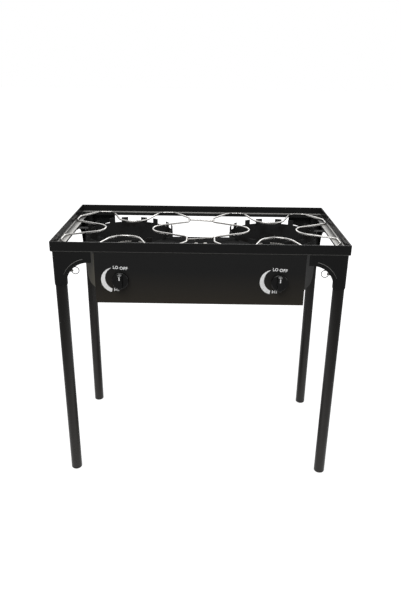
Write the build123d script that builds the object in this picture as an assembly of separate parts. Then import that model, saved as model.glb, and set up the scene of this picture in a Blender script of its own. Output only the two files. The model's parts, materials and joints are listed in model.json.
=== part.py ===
from build123d import *
import os
from math import acos, atan2, cos, hypot, radians, sin, sqrt

# Two-burner outdoor gas stove: a shallow tray frame on four tube legs, a bent-wire grate,
# two wind-shielded burners and a folded control panel. Millimetres, +Z up, front towards -Y.

# ---------------------------------------------------------------- overall size
WIDTH = 800.0
DEPTH = 440.0
HEIGHT = 740.0

# ---------------------------------------------------------------- frame: a wall with a boxed ledge
RAIL_HEIGHT = 28.5
RAIL_WALL = 2.5
RAIL_HEEL = 4.0
RAIL_ROOT = 1.5
LEDGE_WIDTH = 25.0
LEDGE_DEPTH = 6.0
LEDGE_SHEET = 2.0

# ---------------------------------------------------------------- legs and feet
LEG_DIAMETER = 32.0
LEG_WALL = 1.5
LEG_TOP_GAP = 2.0
FOOT_HEIGHT = 7.0
FOOT_ROUND = 4.5
FOOT_SPIGOT = 18.0
FOOT_CLEARANCE = 0.1

# ---------------------------------------------------------------- corner brackets
SHEET = 1.6
SOCKET_CLEARANCE = 0.2
BRACKET_INSET = 1.2
BRACKET_HEIGHT = 96.5
WING_REACH = 108.0
WING_TIP = 8.0
ARCH_RADIUS = 62.0
ARCH_RISE = 5.0
BEAD_OFFSET = 10.0
BEAD_RADIUS = 2.4
BEAD_SUNK = 1.3
BEAD_START = 103.0
BEAD_END = 158.0

# ---------------------------------------------------------------- lock pins and pull rings
PIN_DIAMETER = 5.0
PIN_CLEARANCE = 0.3
PIN_DROP = 57.5
PIN_COLLAR_DIAMETER = 10.0
PIN_COLLAR = 2.0
PIN_TONGUE_LENGTH = 11.0
PIN_TONGUE_WIDTH = 9.0
PIN_TONGUE = 5.0
PIN_TIP_SETBACK = 0.2
PULL_RING_RADIUS = 10.0
PULL_RING_WIRE = 2.2
PULL_RING_HOLE = 4.2

# ---------------------------------------------------------------- grate of bent wire
WIRE = 5.5
GRATE_END_GAP = 9.0
GRATE_SIDE_GAP = 16.0
TIE_SPAN = 78.0
SIDE_LOBE_REACH = 71.0
SIDE_LOBE_RADIUS = 48.0
SIDE_LOBE_MOUTH = 84.0
END_LOBE_REACH = 83.0
END_LOBE_RADIUS = 50.0
END_LOBE_MOUTH = 78.0
LOBE_SET = 3.0
PETAL_SIDE_FLAT = 51.0
PETAL_END_FLAT = 49.0
MOUTH_BEND = 15.0
PETAL_BEND = 26.0
TIE_STEP = 20.5
REAR_TIE_SKEW = 7.5
FRONT_TIE_SKEW = 11.0

# ---------------------------------------------------------------- wind rings
RING_RADIUS = 130.0
RING_SHEET = 1.2
RING_DROP = 99.5
RING_HEIGHT = 96.0
RING_TAB = 14.5
INNER_TAB_START = 9.2
INNER_TAB_END = 18.4
OUTER_TAB_START = 28.0
OUTER_TAB_END = 36.0
TUBE_SLOT_CLEARANCE = 5.0
STRAP_WIDTH = 20.0
STRAP_SHEET = 1.6
STRAP_OFFSET = 31.0
STRAP_SEAT = 20.0

# ---------------------------------------------------------------- control panel and deck
PANEL_END_GAP = 7.7
PANEL_HEIGHT = 144.0
PANEL_SHEET = 1.2
PANEL_TOP_FLANGE = 22.0
PANEL_BOTTOM_FLANGE = 12.0
CHEEK_DEPTH = 76.0
CHEEK_HEIGHT = 99.5
CHEEK_SPLAY = 26.5
CHEEK_ROUND = 35.0
CHEEK_TOP_GAP = 2.0
DECK_END_GAP = 22.3
DECK_BACK = -51.0

# ---------------------------------------------------------------- knobs, valves and stems
KNOB_DROP = 76.5
KNOB_DIAMETER = 46.0
KNOB_SKIRT = 9.0
KNOB_GAP = 3.0
KNOB_BACK_ROUND = 1.0
KNOB_FRONT_ROUND = 2.5
GRIP_WIDTH = 15.0
GRIP_LENGTH = 43.0
GRIP_HEIGHT = 13.0
GRIP_ROUND = 2.5
STEM_DIAMETER = 7.0
STEM_FLAT = 2.4
STEM_IN_KNOB = 15.0
STEM_IN_VALVE = 16.0
STEM_CLEARANCE = 0.05
STEM_HOLE = 10.0
VALVE_FLANGE_WIDTH = 40.0
VALVE_FLANGE_HEIGHT = 16.0
VALVE_FLANGE = 3.0
VALVE_DIAMETER = 22.0
VALVE_LENGTH = 34.0
VALVE_INLET_DIAMETER = 12.0
VALVE_INLET_SETBACK = 18.5
VALVE_SCREW_SPACING = 30.0
OUTLET_DIAMETER = 14.0
OUTLET_LENGTH = 6.0
ORIFICE_HEX = 11.0
ORIFICE_HEX_LENGTH = 6.0
ORIFICE_NOSE_DIAMETER = 7.0
ORIFICE_NOSE_LENGTH = 9.0
ORIFICE_JET = 1.6
ORIFICE_ENTRY = 1.4

# ---------------------------------------------------------------- manifold and gas inlet
MANIFOLD_DIAMETER = 20.0
MANIFOLD_BORE = 15.0
MANIFOLD_LENGTH = 500.0
MANIFOLD_DROP = 31.0
MANIFOLD_BOSS_DIAMETER = 16.0
MANIFOLD_BOSS = 4.0
PLUG_HEX = 17.0
PLUG_HEAD = 6.0
PLUG_DEPTH = 12.0
PLUG_CLEARANCE = 0.05
HANGER_MARGIN = 9.0
HANGER_SHEET = 2.0
HANGER_FOOT = 26.0
HANGER_SADDLE = 5.0
INLET_OFFSET = 60.0
INLET_BOSS_DIAMETER = 18.0
INLET_BOSS = 6.0
INLET_HEX = 19.0
INLET_HEX_LENGTH = 10.0
INLET_THREAD_DIAMETER = 15.9
INLET_THREAD_LENGTH = 14.0
INLET_FLARE = 4.0
INLET_BORE = 7.0

# ---------------------------------------------------------------- burners
BURNER_BAR_WIDTH = 30.0
BURNER_BAR = 3.0
BURNER_RADIUS = 60.0
BOWL_HEIGHT = 14.0
BOWL_WALL = 5.0
BOWL_NECK = 5.0
BOWL_RISE = 21.0
TUBE_OUTER_RADIUS = 17.0
TUBE_WALL = 4.0
MOUTH_FLANGE_RADIUS = 21.0
MOUTH_FLANGE = 6.0
BOSS_RADIUS = 14.0
CAP_PLATE = 2.0
CAP_TEETH_HEIGHT = 6.0
CAP_TEETH_DEPTH = 9.0
CAP_SLOTS = 44
CAP_SLOT_WIDTH = 3.0
CROWN_RADIUS = 24.0
CROWN_SLOTS = 14
SHUTTER_SHEET = 1.0
SHUTTER_RIM = 8.0
SHUTTER_CLEARANCE = 0.3
SHUTTER_WINDOWS = 4
SHUTTER_WINDOW = 8.6
SHUTTER_HOLE = 5.0
SHUTTER_TAB_WIDTH = 10.0
SHUTTER_TAB_REACH = 7.0
SHUTTER_TAB = 3.0

# ---------------------------------------------------------------- bolts and screws
PANEL_BOLT = 5.0
PANEL_BOLT_HEAD = 9.5
PANEL_BOLT_SETBACK = 13.0
DECK_BOLT = 6.0
DECK_BOLT_HEAD = 12.0
DECK_BOLT_SPACING = 26.0
DECK_BOLT_LINE = -122.0
BURNER_BOLT = 8.0
BURNER_BOLT_HEX = 13.0
BURNER_BOLT_HEAD = 5.2
BURNER_BOLT_DEPTH = 12.0
STRAP_BOLT = 5.0
STRAP_BOLT_HEAD = 9.0
VALVE_SCREW = 4.0
VALVE_SCREW_HEAD = 7.5
HEAD_SHARE = 0.32
HEAD_ROUND_SHARE = 0.6
NUT_SHARE = 0.8
NUT_WIDTH_SHARE = 1.7
THREAD_END = 1.5
BOLT_CLEARANCE = 0.25

# ---------------------------------------------------------------- worked-out places
HALF_W = WIDTH / 2
HALF_D = DEPTH / 2
LEDGE_BOTTOM = HEIGHT - RAIL_HEIGHT
LEDGE_TOP = LEDGE_BOTTOM + LEDGE_DEPTH
PIN_HEIGHT = LEDGE_BOTTOM - PIN_DROP
BURNER_X = (HALF_W - GRATE_END_GAP + TIE_SPAN / 2) / 2
ROSETTE_HALF_WIDTH = (HALF_W - GRATE_END_GAP - TIE_SPAN / 2) / 2
ROSETTE_HALF_DEPTH = HALF_D - GRATE_SIDE_GAP
SLEEVE_INNER = LEG_DIAMETER / 2 + SOCKET_CLEARANCE
SLEEVE_OUTER = SLEEVE_INNER + SHEET
LEG_X = HALF_W - BRACKET_INSET - SLEEVE_OUTER
LEG_Y = HALF_D - BRACKET_INSET - SLEEVE_OUTER
PANEL_WIDTH = 2 * (HALF_W - WING_REACH - PANEL_END_GAP)
PANEL_FRONT = -HALF_D + BRACKET_INSET
PANEL_BACK = PANEL_FRONT + PANEL_SHEET
PANEL_BOTTOM = LEDGE_BOTTOM - PANEL_HEIGHT
DECK_TOP = LEDGE_BOTTOM - PANEL_SHEET
DECK_BOTTOM = DECK_TOP - PANEL_SHEET
DECK_HALF_WIDTH = PANEL_WIDTH / 2 - DECK_END_GAP
WIRE_LEVEL = LEDGE_TOP + WIRE / 2
RING_BOTTOM = LEDGE_BOTTOM - RING_DROP
RING_NOTCH_LEVEL = RING_BOTTOM + RING_HEIGHT
RING_TAB_TOP = RING_NOTCH_LEVEL + RING_TAB
KNOB_LEVEL = LEDGE_BOTTOM - KNOB_DROP
BOWL_RIM_LEVEL = KNOB_LEVEL + BOWL_RISE
VALVE_FRONT = PANEL_BACK + VALVE_FLANGE
VALVE_BACK = VALVE_FRONT + VALVE_LENGTH
OUTLET_BACK = VALVE_BACK + OUTLET_LENGTH
TUBE_MOUTH = OUTLET_BACK + ORIFICE_HEX_LENGTH + ORIFICE_NOSE_LENGTH - ORIFICE_ENTRY
MANIFOLD_Y = VALVE_FRONT + VALVE_INLET_SETBACK
MANIFOLD_Z = KNOB_LEVEL - MANIFOLD_DROP
BOSS_TOP = MANIFOLD_Z + MANIFOLD_DIAMETER / 2 + MANIFOLD_BOSS
KNOB_BACK = PANEL_FRONT - KNOB_GAP
KNOB_FRONT = KNOB_BACK - KNOB_SKIRT - GRIP_HEIGHT
BAR_TOP = RING_BOTTOM
BAR_BOTTOM = BAR_TOP - BURNER_BAR
CAP_TOP = BOWL_RIM_LEVEL + CAP_PLATE + CAP_TEETH_HEIGHT
PANEL_BOLT_LINE = -HALF_D + PANEL_BOLT_SETBACK

# The origin is on the floor under the middle of the whole stove, knobs included.
CENTRE_SHIFT = (-KNOB_FRONT - HALF_D) / 2

SIDES = {"left": -1, "right": 1}
CORNERS = {
    "front_left": (-1, -1),
    "front_right": (1, -1),
    "back_left": (-1, 1),
    "back_right": (1, 1),
}
MIRROR_X = Plane.YZ
MIRROR_Y = Plane.XZ
DIAGONAL = Plane(origin=(0, 0, 0), z_dir=(1, -1, 0))

parts = {}


# ---------------------------------------------------------------- small makers
def block(x0, x1, y0, y1, z0, z1):
    """A box between two corners."""
    centre = Pos((x0 + x1) / 2, (y0 + y1) / 2, (z0 + z1) / 2)
    return centre * Box(x1 - x0, y1 - y0, z1 - z0)


def rod_x(y, z, x0, x1, radius):
    return Pos((x0 + x1) / 2, y, z) * Rot(Y=90) * Cylinder(radius, x1 - x0)


def rod_y(x, z, y0, y1, radius):
    return Pos(x, (y0 + y1) / 2, z) * Rot(X=90) * Cylinder(radius, y1 - y0)


def rod_z(x, y, z0, z1, radius):
    return Pos(x, y, (z0 + z1) / 2) * Cylinder(radius, z1 - z0)


def hex_y(x, z, y0, y1, across):
    """A hexagonal bar along Y, measured across its flats."""
    profile = Plane(origin=(x, y0, z), x_dir=(1, 0, 0), z_dir=(0, 1, 0)) * hexagon(across)
    return extrude(profile, y1 - y0)


def hex_z(x, y, z0, z1, across):
    """A hexagonal bar along Z, measured across its flats."""
    return extrude(Plane(origin=(x, y, z0)) * hexagon(across), z1 - z0)


def hexagon(across):
    return RegularPolygon(radius=across / 2, side_count=6, major_radius=False)


def turned(profile, x=0.0, y=0.0):
    """A solid of revolution about the vertical through (x, y), from radius and height points."""
    outline = Polyline(*[(r, 0, z) for r, z in profile], close=True)
    return Pos(x, y, 0) * revolve(make_face(outline), Axis.Z)


def ring_slots(count, x, y, z0, z1, radius, width, reach):
    """Cutters for radial slots, spread evenly round a vertical axis."""
    cutter = block(radius - reach, radius + reach, -width / 2, width / 2, z0, z1)
    return [Pos(x, y, 0) * Rot(Z=360 / count * i) * cutter for i in range(count)]


def bolt_z(x, y, seat, under, diameter, head):
    """A round-headed bolt from above with a hexagonal nut below the clamped sheets."""
    rise = head * HEAD_SHARE
    top = Pos(x, y, seat + rise / 2) * Cylinder(head / 2, rise)
    top = fillet(top.edges().group_by(Axis.Z)[-1], rise * HEAD_ROUND_SHARE)
    drop = diameter * NUT_SHARE
    shank = rod_z(x, y, under - drop - THREAD_END, seat, diameter / 2)
    return top + shank + hex_z(x, y, under - drop, under, diameter * NUT_WIDTH_SHARE)


def countersink(x, y, seat, diameter, head):
    """The sunk cone of a flat head, flush with its seat."""
    depth = (head - diameter) / 2
    return Pos(x, y, seat - depth / 2) * Cone(diameter / 2, head / 2, depth)


def sunk_bolt_z(x, y, seat, under, diameter, head):
    """A countersunk bolt from above with a hexagonal nut below the clamped sheets."""
    drop = diameter * NUT_SHARE
    shank = rod_z(x, y, under - drop - THREAD_END, seat, diameter / 2)
    nut = hex_z(x, y, under - drop, under, diameter * NUT_WIDTH_SHARE)
    return countersink(x, y, seat, diameter, head) + shank + nut


def holes_z(spots, z0, z1, diameter):
    radius = diameter / 2 + BOLT_CLEARANCE
    return [rod_z(x, y, z0 - 1, z1 + 1, radius) for x, y in spots]


# ---------------------------------------------------------------- frame
def band(outer, inner, z0, z1):
    """A level rectangular band between two insets from the tray's outer faces."""
    height = z1 - z0
    ring = Box(WIDTH - 2 * outer, DEPTH - 2 * outer, height)
    return Pos(0, 0, (z0 + z1) / 2) * (ring - Box(WIDTH - 2 * inner, DEPTH - 2 * inner, height))


def level_edges(shape, z, inset):
    """The shape's level edges at a height and an inset from the tray's outer faces."""
    level = shape.edges().filter_by(lambda e: abs(e.center().Z - z) < 0.01)
    return level.filter_by(
        lambda e: abs(abs(e.center().X) - HALF_W + inset) < 0.01
        or abs(abs(e.center().Y) - HALF_D + inset) < 0.01
    )


def frame_ring():
    """The whole tray: an upright wall with a hollow, boxed ledge turned inwards at its foot."""
    ring = band(0, RAIL_WALL, LEDGE_BOTTOM, HEIGHT) + band(0, LEDGE_WIDTH, LEDGE_BOTTOM, LEDGE_TOP)
    ring = fillet(level_edges(ring, LEDGE_BOTTOM, 0), RAIL_HEEL)
    low, high = LEDGE_BOTTOM + LEDGE_SHEET, LEDGE_TOP - LEDGE_SHEET
    return ring - band(RAIL_WALL, LEDGE_WIDTH - LEDGE_SHEET, low, high)


def rail_wedge(side_x, side_y):
    """The corner-to-corner wedge that one mitred rail fills."""
    if side_y:
        far, near = HALF_W, HALF_W - LEDGE_WIDTH
        edge, inner = side_y * HALF_D, side_y * (HALF_D - LEDGE_WIDTH)
        points = [(-far, edge), (far, edge), (near, inner), (-near, inner)]
    else:
        far, near = HALF_D, HALF_D - LEDGE_WIDTH
        edge, inner = side_x * HALF_W, side_x * (HALF_W - LEDGE_WIDTH)
        points = [(edge, -far), (edge, far), (inner, near), (inner, -near)]
    outline = make_face(Polyline(*points, close=True))
    wedge = extrude(outline, RAIL_HEIGHT, both=True)
    return Pos(0, 0, HEIGHT - RAIL_HEIGHT / 2) * wedge


PANEL_BOLTS = [(x, PANEL_BOLT_LINE) for x in (-BURNER_X, 0, BURNER_X)]
STRAP_BOLTS = [(side * (HALF_W - LEDGE_WIDTH / 2), STRAP_OFFSET) for side in SIDES.values()]


def make_frame():
    ring = frame_ring()
    ring -= holes_z(PANEL_BOLTS, LEDGE_BOTTOM, LEDGE_TOP, PANEL_BOLT)
    ring -= holes_z(STRAP_BOLTS, LEDGE_BOTTOM, LEDGE_TOP, STRAP_BOLT)
    ring -= [countersink(x, y, LEDGE_TOP, STRAP_BOLT, STRAP_BOLT_HEAD) for x, y in STRAP_BOLTS]
    for name, side in {"front": (0, -1), "back": (0, 1), "left": (-1, 0), "right": (1, 0)}.items():
        rail = ring & rail_wedge(*side)
        root = level_edges(rail, LEDGE_TOP, RAIL_WALL).sort_by(SortBy.LENGTH)[-1]
        parts[f"frame_rail_{name}"] = fillet(root, RAIL_ROOT)


# ---------------------------------------------------------------- legs, feet and brackets
def leg():
    top = LEDGE_BOTTOM - LEG_TOP_GAP
    tube = rod_z(0, 0, FOOT_HEIGHT, top, LEG_DIAMETER / 2)
    tube -= rod_z(0, 0, FOOT_HEIGHT - 1, top + 1, LEG_DIAMETER / 2 - LEG_WALL)
    return tube - rod_x(0, PIN_HEIGHT, -LEG_DIAMETER, LEG_DIAMETER, PIN_DIAMETER / 2 + PIN_CLEARANCE)


def foot_plug():
    dome = rod_z(0, 0, 0, FOOT_HEIGHT, LEG_DIAMETER / 2)
    dome = fillet(dome.edges().group_by(Axis.Z)[0], FOOT_ROUND)
    spigot = LEG_DIAMETER / 2 - LEG_WALL - FOOT_CLEARANCE
    return dome + rod_z(0, 0, FOOT_HEIGHT, FOOT_HEIGHT + FOOT_SPIGOT, spigot)


def bracket_wing():
    """One pressed wing: a sheet with an arched lower edge and a bead that follows the arch."""
    reach = WING_REACH - BRACKET_INSET - SLEEVE_OUTER
    low = LEDGE_BOTTOM - BRACKET_HEIGHT
    arch_x, arch_z = reach - WING_TIP, low + ARCH_RISE
    back, front = -SLEEVE_OUTER - 1, -SLEEVE_INNER + 1
    wing = block(0, reach, -SLEEVE_OUTER, -SLEEVE_INNER, low, LEDGE_BOTTOM)
    wing -= rod_y(arch_x, arch_z, back, front, ARCH_RADIUS)
    wing -= block(arch_x - ARCH_RADIUS, reach + 1, back, front, low - 1, arch_z)
    wing -= block(arch_x, reach + 1, back, front, low, arch_z + ARCH_RADIUS)
    radius = ARCH_RADIUS + BEAD_OFFSET
    plane = Plane(
        origin=(arch_x, -SLEEVE_OUTER + BEAD_SUNK, arch_z), x_dir=(1, 0, 0), z_dir=(0, -1, 0)
    )
    line = plane * CenterArc((0, 0), radius, BEAD_START, BEAD_END - BEAD_START)
    bead = sweep(Plane(origin=line @ 0, z_dir=line % 0) * Circle(BEAD_RADIUS), path=line)
    bead += [Pos(*tuple(line @ end)) * Sphere(BEAD_RADIUS) for end in (0, 1)]
    outside = block(-1, reach, -SLEEVE_OUTER - BEAD_RADIUS, -SLEEVE_INNER - SHEET / 2, low, LEDGE_BOTTOM)
    return wing + (bead & outside)


def corner_bracket():
    low = LEDGE_BOTTOM - BRACKET_HEIGHT
    wing = bracket_wing()
    sleeve = rod_z(0, 0, low, LEDGE_BOTTOM, SLEEVE_OUTER)
    bracket = sleeve + wing + mirror(wing, DIAGONAL)
    bracket -= rod_z(0, 0, low - 1, LEDGE_BOTTOM + 1, SLEEVE_INNER)
    return bracket - rod_x(0, PIN_HEIGHT, 0, SLEEVE_OUTER + 1, PIN_DIAMETER / 2 + PIN_CLEARANCE)


def lock_pin():
    """A straight pin with a collar and a flat tongue, drilled for its pull ring."""
    seat = SLEEVE_OUTER + PIN_CLEARANCE
    end = seat + PIN_COLLAR + PIN_TONGUE_LENGTH
    pin = rod_x(0, PIN_HEIGHT, -LEG_DIAMETER / 2 + PIN_TIP_SETBACK, seat, PIN_DIAMETER / 2)
    pin += rod_x(0, PIN_HEIGHT, seat, seat + PIN_COLLAR, PIN_COLLAR_DIAMETER / 2)
    half = PIN_TONGUE_WIDTH / 2
    low, high = PIN_HEIGHT - PIN_TONGUE / 2, PIN_HEIGHT + PIN_TONGUE / 2
    pin += block(seat + PIN_COLLAR, end, -half, half, low, high)
    pin += rod_z(end, 0, low, high, half)
    return pin - rod_z(end, 0, low - 1, high + 1, PULL_RING_HOLE / 2)


def pull_ring():
    hole = SLEEVE_OUTER + PIN_CLEARANCE + PIN_COLLAR + PIN_TONGUE_LENGTH
    loop = Rot(X=90) * Torus(PULL_RING_RADIUS, PULL_RING_WIRE / 2)
    return Pos(hole + PULL_RING_RADIUS, 0, PIN_HEIGHT) * loop


def make_corners():
    """Each corner is the same set of pieces, turned to face the middle of the stove."""
    pieces = {
        "corner_bracket": corner_bracket(),
        "leg": leg(),
        "foot_plug": foot_plug(),
        "lock_pin": lock_pin(),
        "pull_ring": pull_ring(),
    }
    for name, piece in pieces.items():
        for corner, (side_x, side_y) in CORNERS.items():
            copy = piece
            if side_x > 0:
                copy = mirror(copy, MIRROR_X)
            if side_y > 0:
                copy = mirror(copy, MIRROR_Y)
            parts[f"{name}_{corner}"] = Pos(side_x * LEG_X, side_y * LEG_Y, 0) * copy


# ---------------------------------------------------------------- grate
def lobe_root(reach, radius, mouth_half, mouth_at):
    """Where the two flared sides of a lobe would meet, so that a fillet leaves its round end."""
    centre = reach + radius
    rise = mouth_at - centre
    flare = acos(radius / hypot(mouth_half, rise)) - atan2(rise, mouth_half)
    return centre - radius / sin(flare)


def rosette_wire():
    """The bent line of one rosette: four petals and, between them, four lobes set to the front."""
    side_root = lobe_root(SIDE_LOBE_REACH, SIDE_LOBE_RADIUS, SIDE_LOBE_MOUTH, ROSETTE_HALF_WIDTH)
    end_root = lobe_root(END_LOBE_REACH, END_LOBE_RADIUS, END_LOBE_MOUTH, ROSETTE_HALF_DEPTH)
    petal = [
        (ROSETTE_HALF_WIDTH, SIDE_LOBE_MOUTH, MOUTH_BEND),
        (ROSETTE_HALF_WIDTH, SIDE_LOBE_MOUTH + PETAL_SIDE_FLAT, PETAL_BEND),
        (END_LOBE_MOUTH + PETAL_END_FLAT, ROSETTE_HALF_DEPTH, PETAL_BEND),
        (END_LOBE_MOUTH, ROSETTE_HALF_DEPTH, MOUTH_BEND),
    ]
    back = petal[::-1]
    bends = [(side_root, -LOBE_SET, SIDE_LOBE_RADIUS)]
    bends += petal
    bends += [(0, end_root - LOBE_SET, END_LOBE_RADIUS)]
    bends += [(-x, y, r) for x, y, r in back]
    bends += [(-side_root, -LOBE_SET, SIDE_LOBE_RADIUS)]
    bends += [(-x, -y, r) for x, y, r in petal]
    bends += [(0, -end_root - LOBE_SET, END_LOBE_RADIUS)]
    bends += [(x, -y, r) for x, y, r in back]
    return FilletPolyline(*[(x, y, 0) for x, y, r in bends], radius=[r for x, y, r in bends], close=True)


def rosette():
    """One closed loop of round wire."""
    line = rosette_wire()
    start = Plane(origin=line @ 0, z_dir=line % 0)
    return sweep(start * Circle(WIRE / 2), path=line)


def tie_rod(level, rise):
    """A short rod between the two rosettes, cut to the wires that it is welded to."""
    reach = TIE_SPAN / 2
    start, end = Vector(-reach, level + rise, 0), Vector(reach, level - rise, 0)
    return extrude(Plane(origin=start, z_dir=end - start) * Circle(WIRE / 2), (end - start).length)


def make_grate():
    flat = rosette()
    for side, sign in SIDES.items():
        parts[f"grate_rosette_{side}"] = Pos(sign * BURNER_X, 0, WIRE_LEVEL) * flat
    level = SIDE_LOBE_MOUTH + TIE_STEP
    ties = [tie_rod(level, REAR_TIE_SKEW), tie_rod(-level, -FRONT_TIE_SKEW)]
    ties = [Pos(0, 0, WIRE_LEVEL) * tie for tie in ties]
    for side in SIDES:
        ties = [tie - parts[f"grate_rosette_{side}"] for tie in ties]
    parts["grate_ties"] = Compound(children=[largest(tie) for tie in ties])


def largest(shape):
    return max(shape.solids(), key=lambda solid: solid.volume)


# ---------------------------------------------------------------- wind rings and their straps
def wind_ring():
    """A rolled band with pairs of tabs along its top, which the grate's wires pass between."""
    ring = rod_z(0, 0, RING_BOTTOM, RING_TAB_TOP, RING_RADIUS)
    ring -= rod_z(0, 0, RING_BOTTOM - 1, RING_TAB_TOP + 1, RING_RADIUS - RING_SHEET)
    gaps = [(-INNER_TAB_START, INNER_TAB_START), (OUTER_TAB_END, 90 - OUTER_TAB_END)]
    gaps += [(INNER_TAB_END, OUTER_TAB_START), (90 - OUTER_TAB_START, 90 - INNER_TAB_END)]
    for quarter in range(4):
        for low, high in gaps:
            ring -= Rot(Z=90 * quarter) * notch(low, high)
    half = TUBE_OUTER_RADIUS + TUBE_SLOT_CLEARANCE
    slot = block(-half, half, -RING_RADIUS - 1, -RING_RADIUS / 2, RING_BOTTOM - 1, KNOB_LEVEL)
    slot += rod_y(0, KNOB_LEVEL, -RING_RADIUS - 1, -RING_RADIUS / 2, half)
    return ring - slot


def notch(low, high):
    """A wedge above the notch level between two angles, in degrees."""
    far = RING_RADIUS * 1.1
    points = [(0, 0)] + [(far * cos(radians(a)), far * sin(radians(a))) for a in (low, high)]
    wedge = extrude(make_face(Polyline(*points, close=True)), RING_TAB_TOP - RING_NOTCH_LEVEL + 1)
    return Pos(0, 0, RING_NOTCH_LEVEL) * wedge


def make_wind_rings():
    ring = wind_ring()
    bore = rod_z(0, 0, LEDGE_BOTTOM - STRAP_SHEET - 1, LEDGE_BOTTOM + 1, RING_RADIUS)
    for side, sign in SIDES.items():
        centre = Pos(sign * BURNER_X, 0, 0)
        parts[f"wind_ring_{side}"] = centre * ring
        outer = HALF_W - LEDGE_WIDTH + STRAP_SEAT
        inner = BURNER_X + RING_RADIUS - STRAP_WIDTH
        ends = sorted((sign * inner, sign * outer))
        low, high = STRAP_OFFSET - STRAP_WIDTH / 2, STRAP_OFFSET + STRAP_WIDTH / 2
        strap = block(*ends, low, high, LEDGE_BOTTOM - STRAP_SHEET, LEDGE_BOTTOM)
        strap -= holes_z(STRAP_BOLTS, LEDGE_BOTTOM - STRAP_SHEET, LEDGE_BOTTOM, STRAP_BOLT)
        parts[f"wind_ring_strap_{side}"] = strap - centre * bore


# ---------------------------------------------------------------- burners
def burner_casting():
    """A cast bowl over a mixing tube, with a foot boss under its middle."""
    rim = BOWL_RIM_LEVEL
    tube_top = KNOB_LEVEL + TUBE_OUTER_RADIUS
    neck = TUBE_OUTER_RADIUS + BOWL_WALL
    outer = [
        (0, KNOB_LEVEL),
        (neck - BOWL_NECK, KNOB_LEVEL),
        (neck, rim - BOWL_HEIGHT),
        (BURNER_RADIUS - BOWL_WALL, rim - BOWL_HEIGHT + BOWL_WALL),
        (BURNER_RADIUS, rim - BOWL_WALL),
        (BURNER_RADIUS, rim),
        (0, rim),
    ]
    inside = BURNER_RADIUS - BOWL_WALL
    cavity = [(0, tube_top), (inside - BOWL_WALL, tube_top), (inside, rim), (0, rim)]
    casting = turned(outer) + rod_z(0, 0, BAR_TOP, KNOB_LEVEL, BOSS_RADIUS)
    casting += rod_y(0, KNOB_LEVEL, TUBE_MOUTH, 0, TUBE_OUTER_RADIUS)
    casting += rod_y(0, KNOB_LEVEL, TUBE_MOUTH, TUBE_MOUTH + MOUTH_FLANGE, MOUTH_FLANGE_RADIUS)
    bore = TUBE_OUTER_RADIUS - TUBE_WALL
    casting -= turned(cavity)
    casting -= rod_y(0, KNOB_LEVEL, TUBE_MOUTH - 1, 0, bore)
    casting -= rod_z(0, 0, KNOB_LEVEL, rim + 1, bore)
    return casting - rod_z(0, 0, BAR_TOP - 1, BAR_TOP + BURNER_BOLT_DEPTH, BURNER_BOLT / 2 + BOLT_CLEARANCE)


def burner_cap():
    """A cast plate with an outer crown of teeth and a small inner one."""
    plate_top = BOWL_RIM_LEVEL + CAP_PLATE
    cap = rod_z(0, 0, BOWL_RIM_LEVEL, plate_top, BURNER_RADIUS)
    outer = rod_z(0, 0, plate_top, CAP_TOP, BURNER_RADIUS)
    outer -= rod_z(0, 0, plate_top, CAP_TOP, BURNER_RADIUS - CAP_TEETH_DEPTH)
    slots = ring_slots(
        CAP_SLOTS, 0, 0, plate_top, CAP_TOP + 1, BURNER_RADIUS, CAP_SLOT_WIDTH, CAP_TEETH_DEPTH * 0.75
    )
    crown = rod_z(0, 0, plate_top, CAP_TOP, CROWN_RADIUS)
    crown -= rod_z(0, 0, plate_top, CAP_TOP, CROWN_RADIUS - CAP_TEETH_DEPTH)
    crown_slots = ring_slots(
        CROWN_SLOTS, 0, 0, plate_top, CAP_TOP + 1, CROWN_RADIUS, CAP_SLOT_WIDTH, CAP_TEETH_DEPTH * 0.75
    )
    return cap + (outer - slots) + (crown - crown_slots)


def air_shutter():
    """A cup with sector windows that turns on the mixing tube's flange."""
    face = TUBE_MOUTH - SHUTTER_CLEARANCE
    inner = MOUTH_FLANGE_RADIUS + SHUTTER_CLEARANCE
    outer = inner + SHUTTER_SHEET
    cup = rod_y(0, KNOB_LEVEL, face - SHUTTER_SHEET, face + SHUTTER_RIM, outer)
    cup -= rod_y(0, KNOB_LEVEL, face, face + SHUTTER_RIM + 1, inner)
    cup -= rod_y(0, KNOB_LEVEL, face - SHUTTER_SHEET - 1, face + 1, SHUTTER_HOLE)
    window = MOUTH_FLANGE_RADIUS - TUBE_WALL - SHUTTER_HOLE
    middle = SHUTTER_HOLE + window / 2
    for step in range(SHUTTER_WINDOWS):
        angle = radians(360 / SHUTTER_WINDOWS * (step + 0.5))
        x, z = middle * cos(angle), KNOB_LEVEL + middle * sin(angle)
        cup -= rod_y(x, z, face - SHUTTER_SHEET - 1, face + 1, SHUTTER_WINDOW / 2)
    half = SHUTTER_TAB_WIDTH / 2
    low, high = KNOB_LEVEL + inner, KNOB_LEVEL + outer + SHUTTER_TAB_REACH
    tab = block(-half, half, face, face + SHUTTER_TAB, low, high)
    return cup + tab


def orifice():
    nose = OUTLET_BACK + ORIFICE_HEX_LENGTH
    end = nose + ORIFICE_NOSE_LENGTH
    spud = hex_y(0, KNOB_LEVEL, OUTLET_BACK, nose, ORIFICE_HEX)
    spud += rod_y(0, KNOB_LEVEL, nose, end, ORIFICE_NOSE_DIAMETER / 2)
    return spud - rod_y(0, KNOB_LEVEL, end - ORIFICE_NOSE_LENGTH, end + 1, ORIFICE_JET / 2)


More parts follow.
